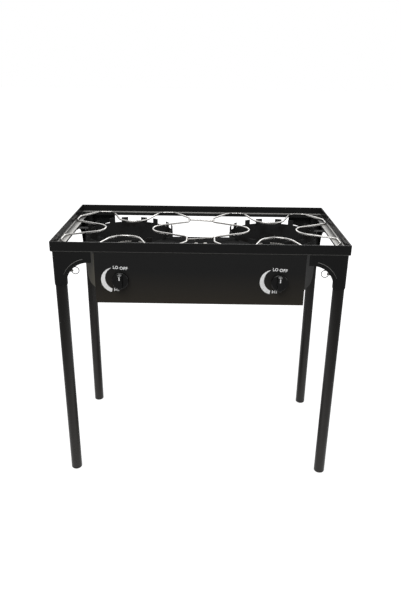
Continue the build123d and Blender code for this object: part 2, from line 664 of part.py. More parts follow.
def make_burners():
    pieces = {
        "burner_casting": burner_casting(),
        "burner_cap": burner_cap(),
        "air_shutter": air_shutter(),
        "orifice": orifice(),
    }
    for side, sign in SIDES.items():
        x = sign * BURNER_X
        for name, piece in pieces.items():
            parts[f"{name}_{side}"] = Pos(x, 0, 0) * piece
        reach = sqrt((RING_RADIUS - RING_SHEET / 2) ** 2 - (BURNER_BAR_WIDTH / 2) ** 2)
        half = BURNER_BAR_WIDTH / 2
        bar = block(x - reach, x + reach, -half, half, BAR_BOTTOM, BAR_TOP)
        bar -= holes_z([(x, 0)], BAR_BOTTOM, BAR_TOP, BURNER_BOLT)
        parts[f"burner_bar_{side}"] = bar


# ---------------------------------------------------------------- control panel and deck
def cheek():
    """A side cheek, splayed outwards from the panel's edge, with a rounded lower corner."""
    low = LEDGE_BOTTOM - CHEEK_HEIGHT
    high = LEDGE_BOTTOM - CHEEK_TOP_GAP
    turn = radians(CHEEK_SPLAY)
    plane = Plane(
        origin=(PANEL_WIDTH / 2, PANEL_FRONT, 0),
        x_dir=(sin(turn), cos(turn), 0),
        z_dir=(cos(turn), -sin(turn), 0),
    )
    centre = (CHEEK_DEPTH - CHEEK_ROUND, low + CHEEK_ROUND)
    face = Polyline((centre[0], low), (0, low), (0, high), (CHEEK_DEPTH, high), (CHEEK_DEPTH, centre[1]))
    corner = CenterArc(centre, CHEEK_ROUND, -90, 90)
    return extrude(plane * make_face(Wire([*face.edges(), *corner.edges()])), -PANEL_SHEET)


def control_panel():
    half = PANEL_WIDTH / 2
    panel = block(-half, half, PANEL_FRONT, PANEL_BACK, PANEL_BOTTOM, LEDGE_BOTTOM)
    panel += block(-half, half, PANEL_FRONT, PANEL_FRONT + PANEL_TOP_FLANGE, DECK_TOP, LEDGE_BOTTOM)
    lip = PANEL_FRONT + PANEL_BOTTOM_FLANGE
    panel += block(-half, half, PANEL_FRONT, lip, PANEL_BOTTOM, PANEL_BOTTOM + PANEL_SHEET)
    side = cheek()
    panel += side
    panel += mirror(side, MIRROR_X)
    for sign in SIDES.values():
        x = sign * BURNER_X
        panel -= rod_y(x, KNOB_LEVEL, PANEL_FRONT - 1, PANEL_BACK + 1, STEM_HOLE / 2)
        panel -= valve_screw_holes(x, PANEL_FRONT - 1, PANEL_BACK + 1)
    return panel - holes_z(PANEL_BOLTS, DECK_TOP, LEDGE_BOTTOM, PANEL_BOLT)


DECK_BOLTS = [(side * DECK_BOLT_SPACING / 2, DECK_BOLT_LINE) for side in SIDES.values()]


def deck():
    """A plate behind the panel's top edge, cut round the wind rings that stand against it."""
    front = PANEL_BACK + BOLT_CLEARANCE
    plate = block(-DECK_HALF_WIDTH, DECK_HALF_WIDTH, front, DECK_BACK, DECK_BOTTOM, DECK_TOP)
    for sign in SIDES.values():
        plate -= rod_z(sign * BURNER_X, 0, DECK_BOTTOM - 1, DECK_TOP + 1, RING_RADIUS)
    plate -= holes_z(PANEL_BOLTS, DECK_BOTTOM, DECK_TOP, PANEL_BOLT)
    return largest(plate - holes_z(DECK_BOLTS, DECK_BOTTOM, DECK_TOP, DECK_BOLT))


# ---------------------------------------------------------------- knobs and valves
def valve_screw_holes(x, y0, y1):
    radius = VALVE_SCREW / 2 + BOLT_CLEARANCE
    return [
        rod_y(x + side * VALVE_SCREW_SPACING / 2, KNOB_LEVEL, y0, y1, radius) for side in (-1, 1)
    ]


def flat_stem(y0, y1, radius, flat):
    """A round bar along Y with a flat on its upper side."""
    bar = rod_y(0, KNOB_LEVEL, y0, y1, radius)
    return bar - block(-radius, radius, y0, y1, KNOB_LEVEL + flat, KNOB_LEVEL + radius + 1)


def knob():
    """A round skirt with a tapered grip bar across it, bored for the flatted stem."""
    skirt = rod_y(0, KNOB_LEVEL, KNOB_BACK - KNOB_SKIRT, KNOB_BACK, KNOB_DIAMETER / 2)
    skirt = fillet(skirt.edges().group_by(Axis.Y)[0], KNOB_FRONT_ROUND)
    skirt = fillet(skirt.edges().group_by(Axis.Y)[-1], KNOB_BACK_ROUND)
    root = Plane(origin=(0, KNOB_BACK - KNOB_SKIRT + 1, KNOB_LEVEL), x_dir=(1, 0, 0), z_dir=(0, -1, 0))
    grip = root * SlotOverall(GRIP_LENGTH, GRIP_WIDTH, rotation=90)
    grip = extrude(grip, GRIP_HEIGHT + 1, taper=3)
    grip = fillet(grip.edges().group_by(Axis.Y)[0], GRIP_ROUND)
    radius = STEM_DIAMETER / 2 + STEM_CLEARANCE
    socket = flat_stem(KNOB_BACK - STEM_IN_KNOB - 1, KNOB_BACK + 1, radius, STEM_FLAT + STEM_CLEARANCE)
    return skirt + grip - socket


def valve_stem():
    end = KNOB_BACK - STEM_IN_KNOB
    flat = flat_stem(end, PANEL_FRONT, STEM_DIAMETER / 2, STEM_FLAT)
    return flat + rod_y(0, KNOB_LEVEL, PANEL_FRONT, PANEL_BACK + STEM_IN_VALVE, STEM_DIAMETER / 2)


def valve():
    """A brass body with a mounting flange, an inlet leg below and an outlet boss behind."""
    half_w, half_h = VALVE_FLANGE_WIDTH / 2, VALVE_FLANGE_HEIGHT / 2
    body = block(-half_w, half_w, PANEL_BACK, VALVE_FRONT, KNOB_LEVEL - half_h, KNOB_LEVEL + half_h)
    body += rod_y(0, KNOB_LEVEL, VALVE_FRONT, VALVE_BACK, VALVE_DIAMETER / 2)
    body += rod_y(0, KNOB_LEVEL, VALVE_BACK, OUTLET_BACK, OUTLET_DIAMETER / 2)
    body += rod_z(0, MANIFOLD_Y, BOSS_TOP, KNOB_LEVEL, VALVE_INLET_DIAMETER / 2)
    bore_end = PANEL_BACK + STEM_IN_VALVE + BOLT_CLEARANCE
    body -= rod_y(0, KNOB_LEVEL, PANEL_BACK - 1, bore_end, STEM_DIAMETER / 2 + STEM_CLEARANCE)
    return body - valve_screw_holes(0, PANEL_BACK - 1, VALVE_FRONT + 1)


def valve_screw(x):
    head = VALVE_SCREW_HEAD * HEAD_SHARE
    screw = rod_y(x, KNOB_LEVEL, PANEL_FRONT - head, PANEL_FRONT, VALVE_SCREW_HEAD / 2)
    return screw + rod_y(x, KNOB_LEVEL, PANEL_FRONT, VALVE_FRONT + 2, VALVE_SCREW / 2)


def make_controls():
    parts["control_panel"] = control_panel()
    parts["deck_plate"] = deck()
    pieces = {"knob": knob(), "valve_stem": valve_stem(), "valve": valve()}
    for name, piece in pieces.items():
        for side, sign in SIDES.items():
            parts[f"{name}_{side}"] = Pos(sign * BURNER_X, 0, 0) * piece


# ---------------------------------------------------------------- gas manifold
def manifold():
    half = MANIFOLD_LENGTH / 2
    pipe = rod_x(MANIFOLD_Y, MANIFOLD_Z, -half, half, MANIFOLD_DIAMETER / 2)
    for sign in SIDES.values():
        pipe += rod_z(sign * BURNER_X, MANIFOLD_Y, MANIFOLD_Z, BOSS_TOP, MANIFOLD_BOSS_DIAMETER / 2)
    back = MANIFOLD_Y + MANIFOLD_DIAMETER / 2 + INLET_BOSS
    pipe += rod_y(INLET_OFFSET, MANIFOLD_Z, MANIFOLD_Y, back, INLET_BOSS_DIAMETER / 2)
    pipe -= rod_y(INLET_OFFSET, MANIFOLD_Z, MANIFOLD_Y, back + 1, INLET_BORE / 2)
    return pipe - rod_x(MANIFOLD_Y, MANIFOLD_Z, -half - 1, half + 1, MANIFOLD_BORE / 2)


def manifold_plug(sign):
    half = MANIFOLD_LENGTH / 2
    radius = MANIFOLD_BORE / 2 - PLUG_CLEARANCE
    plug = rod_x(MANIFOLD_Y, MANIFOLD_Z, half - PLUG_DEPTH, half, radius)
    head = Plane(origin=(half, MANIFOLD_Y, MANIFOLD_Z), z_dir=(1, 0, 0)) * hexagon(PLUG_HEX)
    plug += extrude(head, PLUG_HEAD)
    return plug if sign > 0 else mirror(plug, MIRROR_X)


def manifold_hanger():
    """A bent strap from the deck's two bolts down to a saddle welded on the pipe."""
    foot_back = DECK_BOLT_LINE + HANGER_FOOT / 2
    foot_front = foot_back - HANGER_FOOT
    top = DECK_BOTTOM
    low = MANIFOLD_Z + MANIFOLD_DIAMETER / 2
    saddle_back = MANIFOLD_Y + MANIFOLD_DIAMETER / 2
    outline = [
        (foot_back, top),
        (foot_front, top),
        (saddle_back, low),
        (MANIFOLD_Y, low),
        (MANIFOLD_Y, low - HANGER_SADDLE),
        (saddle_back + HANGER_SHEET, low - HANGER_SADDLE),
        (foot_front + HANGER_SHEET, top - HANGER_SHEET),
        (foot_back, top - HANGER_SHEET),
    ]
    face = make_face(Polyline(*[(0, y, z) for y, z in outline], close=True))
    width = DECK_BOLT_SPACING + 2 * HANGER_MARGIN
    strap = extrude(face, width / 2, both=True)
    strap -= rod_x(MANIFOLD_Y, MANIFOLD_Z, -width, width, MANIFOLD_DIAMETER / 2)
    return largest(strap - holes_z(DECK_BOLTS, top - HANGER_SHEET, top, DECK_BOLT))


def gas_inlet():
    """A flare fitting for the supply hose, pointing backwards under the deck."""
    start = MANIFOLD_Y + MANIFOLD_DIAMETER / 2 + INLET_BOSS
    hex_end = start + INLET_HEX_LENGTH
    thread_end = hex_end + INLET_THREAD_LENGTH
    end = thread_end + INLET_FLARE
    radius = INLET_THREAD_DIAMETER / 2
    fitting = hex_y(INLET_OFFSET, MANIFOLD_Z, start, hex_end, INLET_HEX)
    fitting += rod_y(INLET_OFFSET, MANIFOLD_Z, hex_end, thread_end, radius)
    cone = Pos(INLET_OFFSET, (thread_end + end) / 2, MANIFOLD_Z) * Rot(X=-90)
    fitting += cone * Cone(radius, radius - INLET_FLARE, INLET_FLARE)
    return fitting - rod_y(INLET_OFFSET, MANIFOLD_Z, start - 1, end + 1, INLET_BORE / 2)


def make_gas_train():
    parts["manifold"] = manifold()
    parts["manifold_plugs"] = Compound(children=[manifold_plug(sign) for sign in SIDES.values()])
    parts["manifold_hanger"] = manifold_hanger()
    parts["gas_inlet"] = gas_inlet()


# ---------------------------------------------------------------- bolts and screws
def burner_bolt(x):
    bolt = hex_z(x, 0, BAR_BOTTOM - BURNER_BOLT_HEAD, BAR_BOTTOM, BURNER_BOLT_HEX)
    return bolt + rod_z(x, 0, BAR_BOTTOM, BAR_TOP + BURNER_BOLT_DEPTH, BURNER_BOLT / 2)


def make_fasteners():
    panel = [
        bolt_z(x, y, LEDGE_TOP, DECK_BOTTOM, PANEL_BOLT, PANEL_BOLT_HEAD)
        for x, y in PANEL_BOLTS
    ]
    hanger_under = DECK_BOTTOM - HANGER_SHEET
    deck_bolts = [
        bolt_z(x, y, DECK_TOP, hanger_under, DECK_BOLT, DECK_BOLT_HEAD)
        for x, y in DECK_BOLTS
    ]
    strap_under = LEDGE_BOTTOM - STRAP_SHEET
    straps = [
        sunk_bolt_z(x, y, LEDGE_TOP, strap_under, STRAP_BOLT, STRAP_BOLT_HEAD)
        for x, y in STRAP_BOLTS
    ]
    screw_x = [
        sign * BURNER_X + side * VALVE_SCREW_SPACING / 2 for sign in SIDES.values() for side in (-1, 1)
    ]
    parts["panel_bolts"] = Compound(children=panel)
    parts["deck_bolts"] = Compound(children=deck_bolts)
    parts["wind_ring_strap_bolts"] = Compound(children=straps)
    parts["burner_bolts"] = Compound(children=[burner_bolt(s * BURNER_X) for s in SIDES.values()])
    parts["valve_screws"] = Compound(children=[valve_screw(x) for x in screw_x])


# ---------------------------------------------------------------- build and write
make_frame()
make_corners()
make_grate()
make_wind_rings()
make_burners()
make_controls()
make_gas_train()
make_fasteners()

os.makedirs("parts", exist_ok=True)
for node, shape in parts.items():
    export_step(Pos(0, CENTRE_SHIFT, 0) * shape, f"parts/{node}.step")
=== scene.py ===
"""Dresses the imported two-burner gas stove: finishes, dial print, fasteners, rings, welds and the studio."""

import json
import math

import bmesh
import bpy
from bpy.props import FloatProperty, FloatVectorProperty, PointerProperty
from mathutils import Matrix, Vector


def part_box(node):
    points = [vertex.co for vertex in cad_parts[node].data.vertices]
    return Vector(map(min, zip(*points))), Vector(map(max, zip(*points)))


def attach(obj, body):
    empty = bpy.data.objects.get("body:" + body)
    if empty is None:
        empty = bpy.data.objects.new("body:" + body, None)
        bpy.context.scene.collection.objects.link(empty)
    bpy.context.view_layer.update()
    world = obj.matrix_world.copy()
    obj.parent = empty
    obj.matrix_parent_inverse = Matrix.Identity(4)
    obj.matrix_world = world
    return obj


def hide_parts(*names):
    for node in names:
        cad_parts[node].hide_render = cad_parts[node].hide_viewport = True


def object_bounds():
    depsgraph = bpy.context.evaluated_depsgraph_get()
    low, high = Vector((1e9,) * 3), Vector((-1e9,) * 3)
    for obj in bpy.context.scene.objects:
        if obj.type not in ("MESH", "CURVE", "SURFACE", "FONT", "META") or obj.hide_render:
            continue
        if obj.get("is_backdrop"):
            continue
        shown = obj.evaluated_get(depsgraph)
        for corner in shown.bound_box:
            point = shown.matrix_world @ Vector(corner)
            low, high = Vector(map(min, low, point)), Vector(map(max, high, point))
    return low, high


bl_info = {
    "name": "Gas stove finish",
    "version": (1, 0, 0),
    "blender": (4, 5, 0),
    "location": "View3D > Sidebar > Stove",
    "description": "Finishes, markings and small parts for a two-burner gas stove, and its studio",
    "category": "Object",
}

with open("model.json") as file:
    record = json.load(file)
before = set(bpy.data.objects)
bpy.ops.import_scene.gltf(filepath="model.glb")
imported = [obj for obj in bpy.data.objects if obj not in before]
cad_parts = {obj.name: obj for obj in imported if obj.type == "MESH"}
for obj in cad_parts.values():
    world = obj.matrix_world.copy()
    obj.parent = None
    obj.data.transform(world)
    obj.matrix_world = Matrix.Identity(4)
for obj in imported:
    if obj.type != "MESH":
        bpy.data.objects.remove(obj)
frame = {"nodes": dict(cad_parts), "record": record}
CAD_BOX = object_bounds()

SIDES = {"left": -1, "right": 1}
CORNERS = {"front_left": (-1, -1), "front_right": (1, -1), "back_left": (-1, 1), "back_right": (1, 1)}


def middle(node):
    """The middle of a CAD node's box."""
    low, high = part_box(node)
    return (low + high) / 2


# ---------------------------------------------------------------- settings


def number(name, description, default, **kind):
    return FloatProperty(name=name, description=description, default=default, **kind)


def triple(name, description, default, **kind):
    return FloatVectorProperty(name=name, description=description, default=default, size=3, **kind)


def length(name, description, default):
    return number(name, description, default, min=0.0, unit="LENGTH", precision=4)


def angle(name, description, degrees):
    return number(name, description, math.radians(degrees), unit="ROTATION")


def watts(name, description, default):
    return number(name, description, default, unit="POWER")


def spot(name, description, default):
    return triple(name, description, default, subtype="XYZ", unit="LENGTH")


def colour(name, description, default):
    return triple(name, description, default, min=0.0, max=1.0, subtype="COLOR")


class PrintSizes(bpy.types.PropertyGroup):
    thickness: length("Print thickness", "How far the print stands off the panel", 0.00015)
    band_middle: spot("Band middle", "Outer circle's middle, from the knob's axis", (-0.0175, 0.0, -0.0007))
    band_radius: length("Band radius", "Radius of the heat band's outer circle", 0.0352)
    hollow_middle: spot("Hollow middle", "Inner circle's middle, from the outer one's", (0.0089, 0.0, 0.0049))
    hollow_radius: length("Hollow radius", "Radius of the heat band's inner circle", 0.0330)
    band_start: angle("Band start", "Where the band's thin tip is, from three o'clock", 100.8)
    band_end: angle("Band end", "Where the band's broad end is, from three o'clock", 258.0)
    letter_height: length("Letter height", "Height of the words", 0.0087)
    low_place: spot("LO", "Middle of the word LO, from the knob's axis", (-0.0121, 0.0, 0.0352))
    low_width: length("LO width", "Width of the word LO", 0.0140)
    off_place: spot("OFF", "Middle of the word OFF, from the knob's axis", (0.0096, 0.0, 0.0329))
    off_width: length("OFF width", "Width of the word OFF", 0.0214)
    high_place: spot("HI", "Middle of the word HI, from the knob's axis", (-0.0116, 0.0, -0.0285))
    high_width: length("HI width", "Width of the word HI", 0.0135)
    word_lean: angle("Word lean", "How far the upper words lean to the right", 4.0)
    pointer_length: length("Pointer length", "Length of the line on the knob", 0.0108)
    pointer_width: length("Pointer width", "Width of the line on the knob", 0.0027)
    pointer_rise: length("Pointer rise", "Middle of the line above the knob's axis", 0.0112)


class HardwareSizes(bpy.types.PropertyGroup):
    deck_bolt: length("Deck bolt", "Diameter of the deck bolts", 0.006)
    deck_head: length("Deck bolt head", "Diameter of their heads", 0.012)
    panel_bolt: length("Panel bolt", "Diameter of the panel bolts", 0.005)
    panel_head: length("Panel bolt head", "Diameter of their heads", 0.0095)
    burner_bolt: length("Burner bolt", "Diameter of the bolt under each burner", 0.008)
    valve_screw: length("Valve screw", "Diameter of the screws beside each knob", 0.004)
    valve_screw_head: length("Valve screw head", "Diameter of their heads", 0.0075)
    inlet_bore: length("Inlet bore", "Bore of the gas inlet", 0.007)
    inlet_hex: length("Inlet hexagon", "Length of the inlet's hexagon", 0.010)
    inlet_thread: length("Inlet thread", "Length of the inlet's thread", 0.014)
    inlet_pitch: length("Inlet pitch", "Pitch of the inlet's thread", 0.00141)
    union_nut: length("Union nut", "Width across the flats of the nut under each valve", 0.0170)
    union_height: length("Union nut height", "Height of that nut", 0.0070)
    ring_wire: length("Split ring wire", "Thickness of the flattened wire of a pull ring", 0.0011)
    ring_breadth: length("Split ring breadth", "Breadth of that wire", 0.0021)
    weld: length("Weld bead", "Radius of a weld bead", 0.0019)


class StoveColours(bpy.types.PropertyGroup):
    leg: colour("Leg enamel", "Black enamel of the legs", (0.0070, 0.0066, 0.0062))
    enamel: colour("Enamel", "Gloss black enamel of the frame", (0.0132, 0.0132, 0.0132))
    panel: colour("Panel", "Enamel of the control panel", (0.0138, 0.0138, 0.0138))
    # Painted reflection: the panel turns browner towards its foot.
    panel_foot_reflection: colour("Panel foot", "Browner enamel along the foot of the panel", (0.0285, 0.0245, 0.0190))
    # Painted sheen on the panel's left cheek.
    cheek: colour("Panel cheek", "Olive sheen of the panel's left cheek", (0.072, 0.065, 0.042))
    shield: colour("Heat-proof enamel", "Matte enamel of the wind rings", (0.0180, 0.0180, 0.0180))
    deck: colour("Deck", "Matte enamel of the deck plate", (0.0030, 0.0030, 0.0030))
    dust: colour("Dust", "Brownish dust on the legs", (0.042, 0.036, 0.031))
    # Rubbed bare metal of the ledge, also the colour of the painted highlights and painted reflection on it.
    bare_metal_and_painted_light: colour("Rubbed ledge", "Bare, rubbed metal of the ledge that carries the grate", (0.70, 0.69, 0.66))
    wire: colour("Plated wire", "Bright wire of the grate", (0.60, 0.59, 0.57))
    weld: colour("Weld", "Heat-tinted weld beads", (0.20, 0.17, 0.14))
    zinc: colour("Zinc", "Bolts, pins and pull rings", (0.56, 0.55, 0.52))
    brass: colour("Brass", "Valves and fittings", (0.60, 0.41, 0.15))
    iron: colour("Cast iron", "Burner castings", (0.030, 0.029, 0.028))
    plastic: colour("Knob plastic", "Moulded black plastic", (0.0030, 0.0030, 0.0030))
    ink: colour("Print", "White print on the panel", (0.86, 0.86, 0.86))


class StageSettings(bpy.types.PropertyGroup):
    lens: number("Lens", "Focal length of the camera, in millimetres", 34.4)
    camera: spot("Camera", "Its place", (0.0136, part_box("frame_rail_front")[0].y - 1.4582, 1.1740))
    pitch: angle("Pitch", "How far the camera looks down", 22.219)
    yaw: angle("Yaw", "How far the camera looks to the right", -0.435)
    roll: angle("Roll", "How far the camera leans to the left", 0.676)
    key: watts("Key light", "Power of the large soft light", 34.0)
    back: watts("Back light", "Power of the light behind", 16.0)
    fill: watts("Fill light", "Power of the fill light", 8.0)


# ---------------------------------------------------------------- node groups


def new_group(name, inputs, outputs):
    """An empty shader node group with named number sockets, and its input and output nodes."""
    group = bpy.data.node_groups.new(name, "ShaderNodeTree")
    for label, default in inputs:
        socket = group.interface.new_socket(name=label, in_out="INPUT", socket_type="NodeSocketFloat")
        socket.default_value = default
    for label in outputs:
        group.interface.new_socket(name=label, in_out="OUTPUT", socket_type="NodeSocketFloat")
    return group, group.nodes.new("NodeGroupInput"), group.nodes.new("NodeGroupOutput")


def add(tree, kind, **values):
    """A new node, with its settings by name and its inputs by socket name or number."""
    node = tree.nodes.new(kind)
    for key, value in values.items():
        if key.startswith("in_"):
            socket = key.removeprefix("in_").replace("_", " ")
            node.inputs[int(socket) if socket.isdigit() else socket].default_value = value
        else:
            setattr(node, key, value)
    return node


def join(tree, source, target):
    tree.links.new(source, target)


def ramp(tree, source, start, end, low=0.0, high=1.0):
    """A number drawn out from one range to another, and held at its ends."""
    node = add(tree, "ShaderNodeMapRange", in_1=start, in_2=end, in_3=low, in_4=high)
    join(tree, source, node.inputs[0])
    return node.outputs[0]


def maths(tree, operation, *sources):
    """Two or three numbers worked into one, and held between 0 and 1."""
    node = add(tree, "ShaderNodeMath", operation=operation, use_clamp=True)
    for source, socket in zip(sources, node.inputs):
        if isinstance(source, float):
            socket.default_value = source
        else:
            join(tree, source, socket)
    return node.outputs[0]


def times(tree, first, *others):
    """Masks and numbers multiplied together."""
    for other in others:
        first = maths(tree, "MULTIPLY", first, other)
    return first


def noise(tree, scale, detail, roughness):
    """Soft noise on the object's own coordinates; the scale is a number or a socket."""
    place = add(tree, "ShaderNodeTexCoord")
    node = add(tree, "ShaderNodeTexNoise", in_Detail=detail, in_Roughness=roughness)
    join(tree, place.outputs["Object"], node.inputs["Vector"])
    if isinstance(scale, float):
        node.inputs["Scale"].default_value = scale
    else:
        join(tree, scale, node.inputs["Scale"])
    return node.outputs["Fac"]


def split(tree, source):
    node = add(tree, "ShaderNodeSeparateXYZ")
    join(tree, source, node.inputs[0])
    return node.outputs


def place_parts(tree):
    return split(tree, add(tree, "ShaderNodeTexCoord").outputs["Object"])


def facing_parts(tree):
    return split(tree, add(tree, "ShaderNodeNewGeometry").outputs["Normal"])


def grain_group():
    """Fine orange peel: a height, and a slow patchiness for the roughness."""
    scales = [("Scale", 400.0), ("Patch scale", 9.0)]
    group, into, out = new_group("Enamel grain", scales, ["Height", "Patches"])
    join(group, noise(group, into.outputs["Scale"], 3.0, 0.55), out.inputs["Height"])
    join(group, noise(group, into.outputs["Patch scale"], 4.0, 0.6), out.inputs["Patches"])
    return group


def edge_rub_and_highlight_group():
    """A mask that is white along sharp outer edges, broken up by noise: rubbed paint, and a painted highlight
    along the edges.
    """
    group, into, out = new_group("Edge rub", [("Radius", 0.0015), ("Breakup", 60.0)], ["Mask"])
    surface = add(group, "ShaderNodeNewGeometry")
    rounded = add(group, "ShaderNodeBevel", samples=4)
    join(group, into.outputs["Radius"], rounded.inputs["Radius"])
    turn = add(group, "ShaderNodeVectorMath", operation="DOT_PRODUCT")
    join(group, rounded.outputs["Normal"], turn.inputs[0])
    join(group, surface.outputs["Normal"], turn.inputs[1])
    edge = ramp(group, turn.outputs["Value"], 0.985, 0.80)
    broken = ramp(group, noise(group, into.outputs["Breakup"], 5.0, 0.7), 0.35, 0.62, 0.25, 1.0)
    join(group, times(group, edge, broken), out.inputs["Mask"])
    return group


def dust_group():
    """Dust that settles on what faces up, and thins out with height above the floor."""
    amounts = [("Top amount", 0.3), ("Low amount", 0.5), ("Low height", 0.5)]
    group, into, out = new_group("Settled dust", amounts, ["Mask"])
    top = ramp(group, facing_parts(group)["Z"], 0.6, 1.0)
    low = add(group, "ShaderNodeMapRange", in_1=0.0, in_3=1.0, in_4=0.0)
    join(group, place_parts(group)["Z"], low.inputs[0])
    join(group, into.outputs["Low height"], low.inputs[2])
    on_top = times(group, top, into.outputs["Top amount"])
    below = times(group, low.outputs[0], into.outputs["Low amount"])
    broken = ramp(group, noise(group, 35.0, 6.0, 0.65), 0.3, 0.7, 0.6, 1.0)
    join(group, times(group, maths(group, "ADD", on_top, below), broken), out.inputs["Mask"])
    return group


def scratch_group():
    """Fine handling scratches: thin, long streaks in two directions, here and there."""
    group, into, out = new_group("Handling scratches", [("Scale", 60.0), ("Amount", 0.5)], ["Mask"])
    place = add(group, "ShaderNodeTexCoord")
    streaks = []
    for turn in ((0.3, 0.2, 0.5), (-0.6, 0.4, -0.9)):
        stretch = add(group, "ShaderNodeMapping", in_Rotation=turn, in_Scale=(1.0, 18.0, 18.0))
        join(group, place.outputs["Object"], stretch.inputs["Vector"])
        fine = add(group, "ShaderNodeTexNoise", in_Detail=2.0, in_Roughness=0.5)
        join(group, stretch.outputs[0], fine.inputs["Vector"])
        join(group, into.outputs["Scale"], fine.inputs["Scale"])
        streaks.append(ramp(group, fine.outputs["Fac"], 0.70, 0.78))
    patches = ramp(group, noise(group, 14.0, 3.0, 0.5), 0.52, 0.66)
    shown = times(group, maths(group, "MAXIMUM", *streaks), patches, into.outputs["Amount"])
    join(group, shown, out.inputs["Mask"])
    return group


GROUPS = {}


def group_node(tree, maker, **values):
    """One of the shared node groups, placed in a material with its own values."""
    if maker not in GROUPS:
        GROUPS[maker] = maker()
    node = tree.nodes.new("ShaderNodeGroup")
    node.node_tree = GROUPS[maker]
    for key, value in values.items():
        node.inputs[key.replace("_", " ")].default_value = value
    return node.outputs


# ---------------------------------------------------------------- materials


class Finish:
    """A material in the making: a Principled shader and what feeds it."""

    def __init__(self, name, base, roughness, metallic=0.0, specular=0.5):
        self.material = bpy.data.materials.new(name)
        self.material.use_nodes = True
        self.tree = self.material.node_tree
        self.shader = self.tree.nodes["Principled BSDF"]
        self.shader.inputs["Base Color"].default_value = (*base, 1.0)
        self.shader.inputs["Roughness"].default_value = roughness
        self.shader.inputs["Metallic"].default_value = metallic
        self.shader.inputs["Specular IOR Level"].default_value = specular
        self.roughness = roughness
        self.colour = None
        self.base = base

    def cover(self, mask, colour):
        """Lays another colour over the base where the mask is white."""
        mix = add(self.tree, "ShaderNodeMix", data_type="RGBA")
        join(self.tree, mask, mix.inputs["Factor"])
        if self.colour is None:
            mix.inputs["A"].default_value = (*self.base, 1.0)
        else:
            join(self.tree, self.colour, mix.inputs["A"])
        mix.inputs["B"].default_value = (*colour, 1.0)
        self.colour = mix.outputs["Result"]
        join(self.tree, self.colour, self.shader.inputs["Base Color"])
        return self

    def grain(self, scale, height, spread, patch_scale=9.0):
        """Bump of the given height in metres, and a roughness that wanders by the given spread."""
        grain = group_node(self.tree, grain_group, Scale=scale, Patch_scale=patch_scale)
        bump = add(self.tree, "ShaderNodeBump", in_Strength=1.0, in_Distance=height)
        join(self.tree, grain["Height"], bump.inputs["Height"])
        join(self.tree, bump.outputs["Normal"], self.shader.inputs["Normal"])
        wander = ramp(self.tree, grain["Patches"], 0.3, 0.7, self.roughness - spread, self.roughness + spread)
        join(self.tree, wander, self.shader.inputs["Roughness"])
        return self

    # Lighter along sharp edges: rubbed paint, and a painted highlight.
    def edges(self, radius, colour, breakup=60.0):
        return self.cover(group_node(self.tree, edge_rub_and_highlight_group, Radius=radius, Breakup=breakup)["Mask"], colour)

    def dust(self, colour, top, low=0.0, height=0.5):
        settled = group_node(self.tree, dust_group, Top_amount=top, Low_amount=low, Low_height=height)
        return self.cover(settled["Mask"], colour)

    def scratches(self, colour, amount, scale=60.0):
        return self.cover(group_node(self.tree, scratch_group, Scale=scale, Amount=amount)["Mask"], colour)

    def patches(self, colour, scale, start, end):
        """Soft cloudy patches of another colour."""
        return self.cover(ramp(self.tree, noise(self.tree, scale, 4.0, 0.6), start, end), colour)


RAIL_WALL = 0.0025


def outward(tree, axis, centre=0.0):
    """How far a point lies from the frame's middle line along one axis."""
    away = add(tree, "ShaderNodeMath", operation="SUBTRACT", in_1=centre)
    join(tree, place_parts(tree)[axis], away.inputs[0])
    size = add(tree, "ShaderNodeMath", operation="ABSOLUTE")
    join(tree, away.outputs[0], size.inputs[0])
    return size.outputs[0]


def band(tree, source, low, high, soft=0.0004):
    """White between two values."""
    rise = ramp(tree, source, low - soft, low + soft)
    return times(tree, rise, ramp(tree, source, high - soft, high + soft, 1.0, 0.0))


def ledge_wear_and_painted_light_mask(tree):
    """The ledge's paint rubbed bare, and painted light on it: a painted highlight line along the root of the
    side and back ledges, worn sides with a painted reflection that brightens towards the inner edge, and
    painted shade towards the back corners.
    """
    low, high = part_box("frame_rail_left")
    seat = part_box("grate_rosette_left")[0].z
    side, depth = -low.x - RAIL_WALL, (high.y - low.y) / 2 - RAIL_WALL
    x, y = outward(tree, "X"), outward(tree, "Y", (high.y + low.y) / 2)
    z = place_parts(tree)["Z"]
    overlap, gone = 0.0002, 0.0006
    within_x = ramp(tree, x, side + overlap, side + gone, 1.0, 0.0)
    within_y = ramp(tree, y, depth + overlap, depth + gone, 1.0, 0.0)
    below, flat_top, root_top = seat - 0.0015, seat + 0.0008, seat + 0.0022
    flat, root = band(tree, z, below, flat_top), band(tree, z, below, root_top)
    # Painted shade: the side ledges darken towards the back corners.
    near = ramp(tree, place_parts(tree)["Y"], 0.104, 0.126, 1.0, 0.06)
    # A painted highlight line along the root of the side and back ledges.
    side_highlight_width, back_highlight_width = 0.0034, 0.0060
    side_highlight = times(tree, band(tree, x, side - side_highlight_width, side + overlap), 0.62, near)
    back_highlight = times(tree, band(tree, y, depth - back_highlight_width, depth + overlap), 0.40)
    line = times(tree, maths(tree, "MAXIMUM", side_highlight, back_highlight), root)
    worn = ramp(tree, noise(tree, 30.0, 5.0, 0.65), 0.25, 0.6, 0.82, 1.0)
    # A painted reflection: the worn sides brighten towards the inner edge and darken towards the wall.
    across = ramp(tree, x, side - 0.0225, side - 0.0060, 1.0, 0.16)
    inner_edge, outer_edge = side - 0.0240, side - 0.0050
    inside = times(tree, across, band(tree, x, inner_edge, outer_edge))
    sides = times(tree, times(tree, inside, near), times(tree, flat, worn))
    return times(tree, maths(tree, "MAXIMUM", line, sides), times(tree, within_x, within_y))


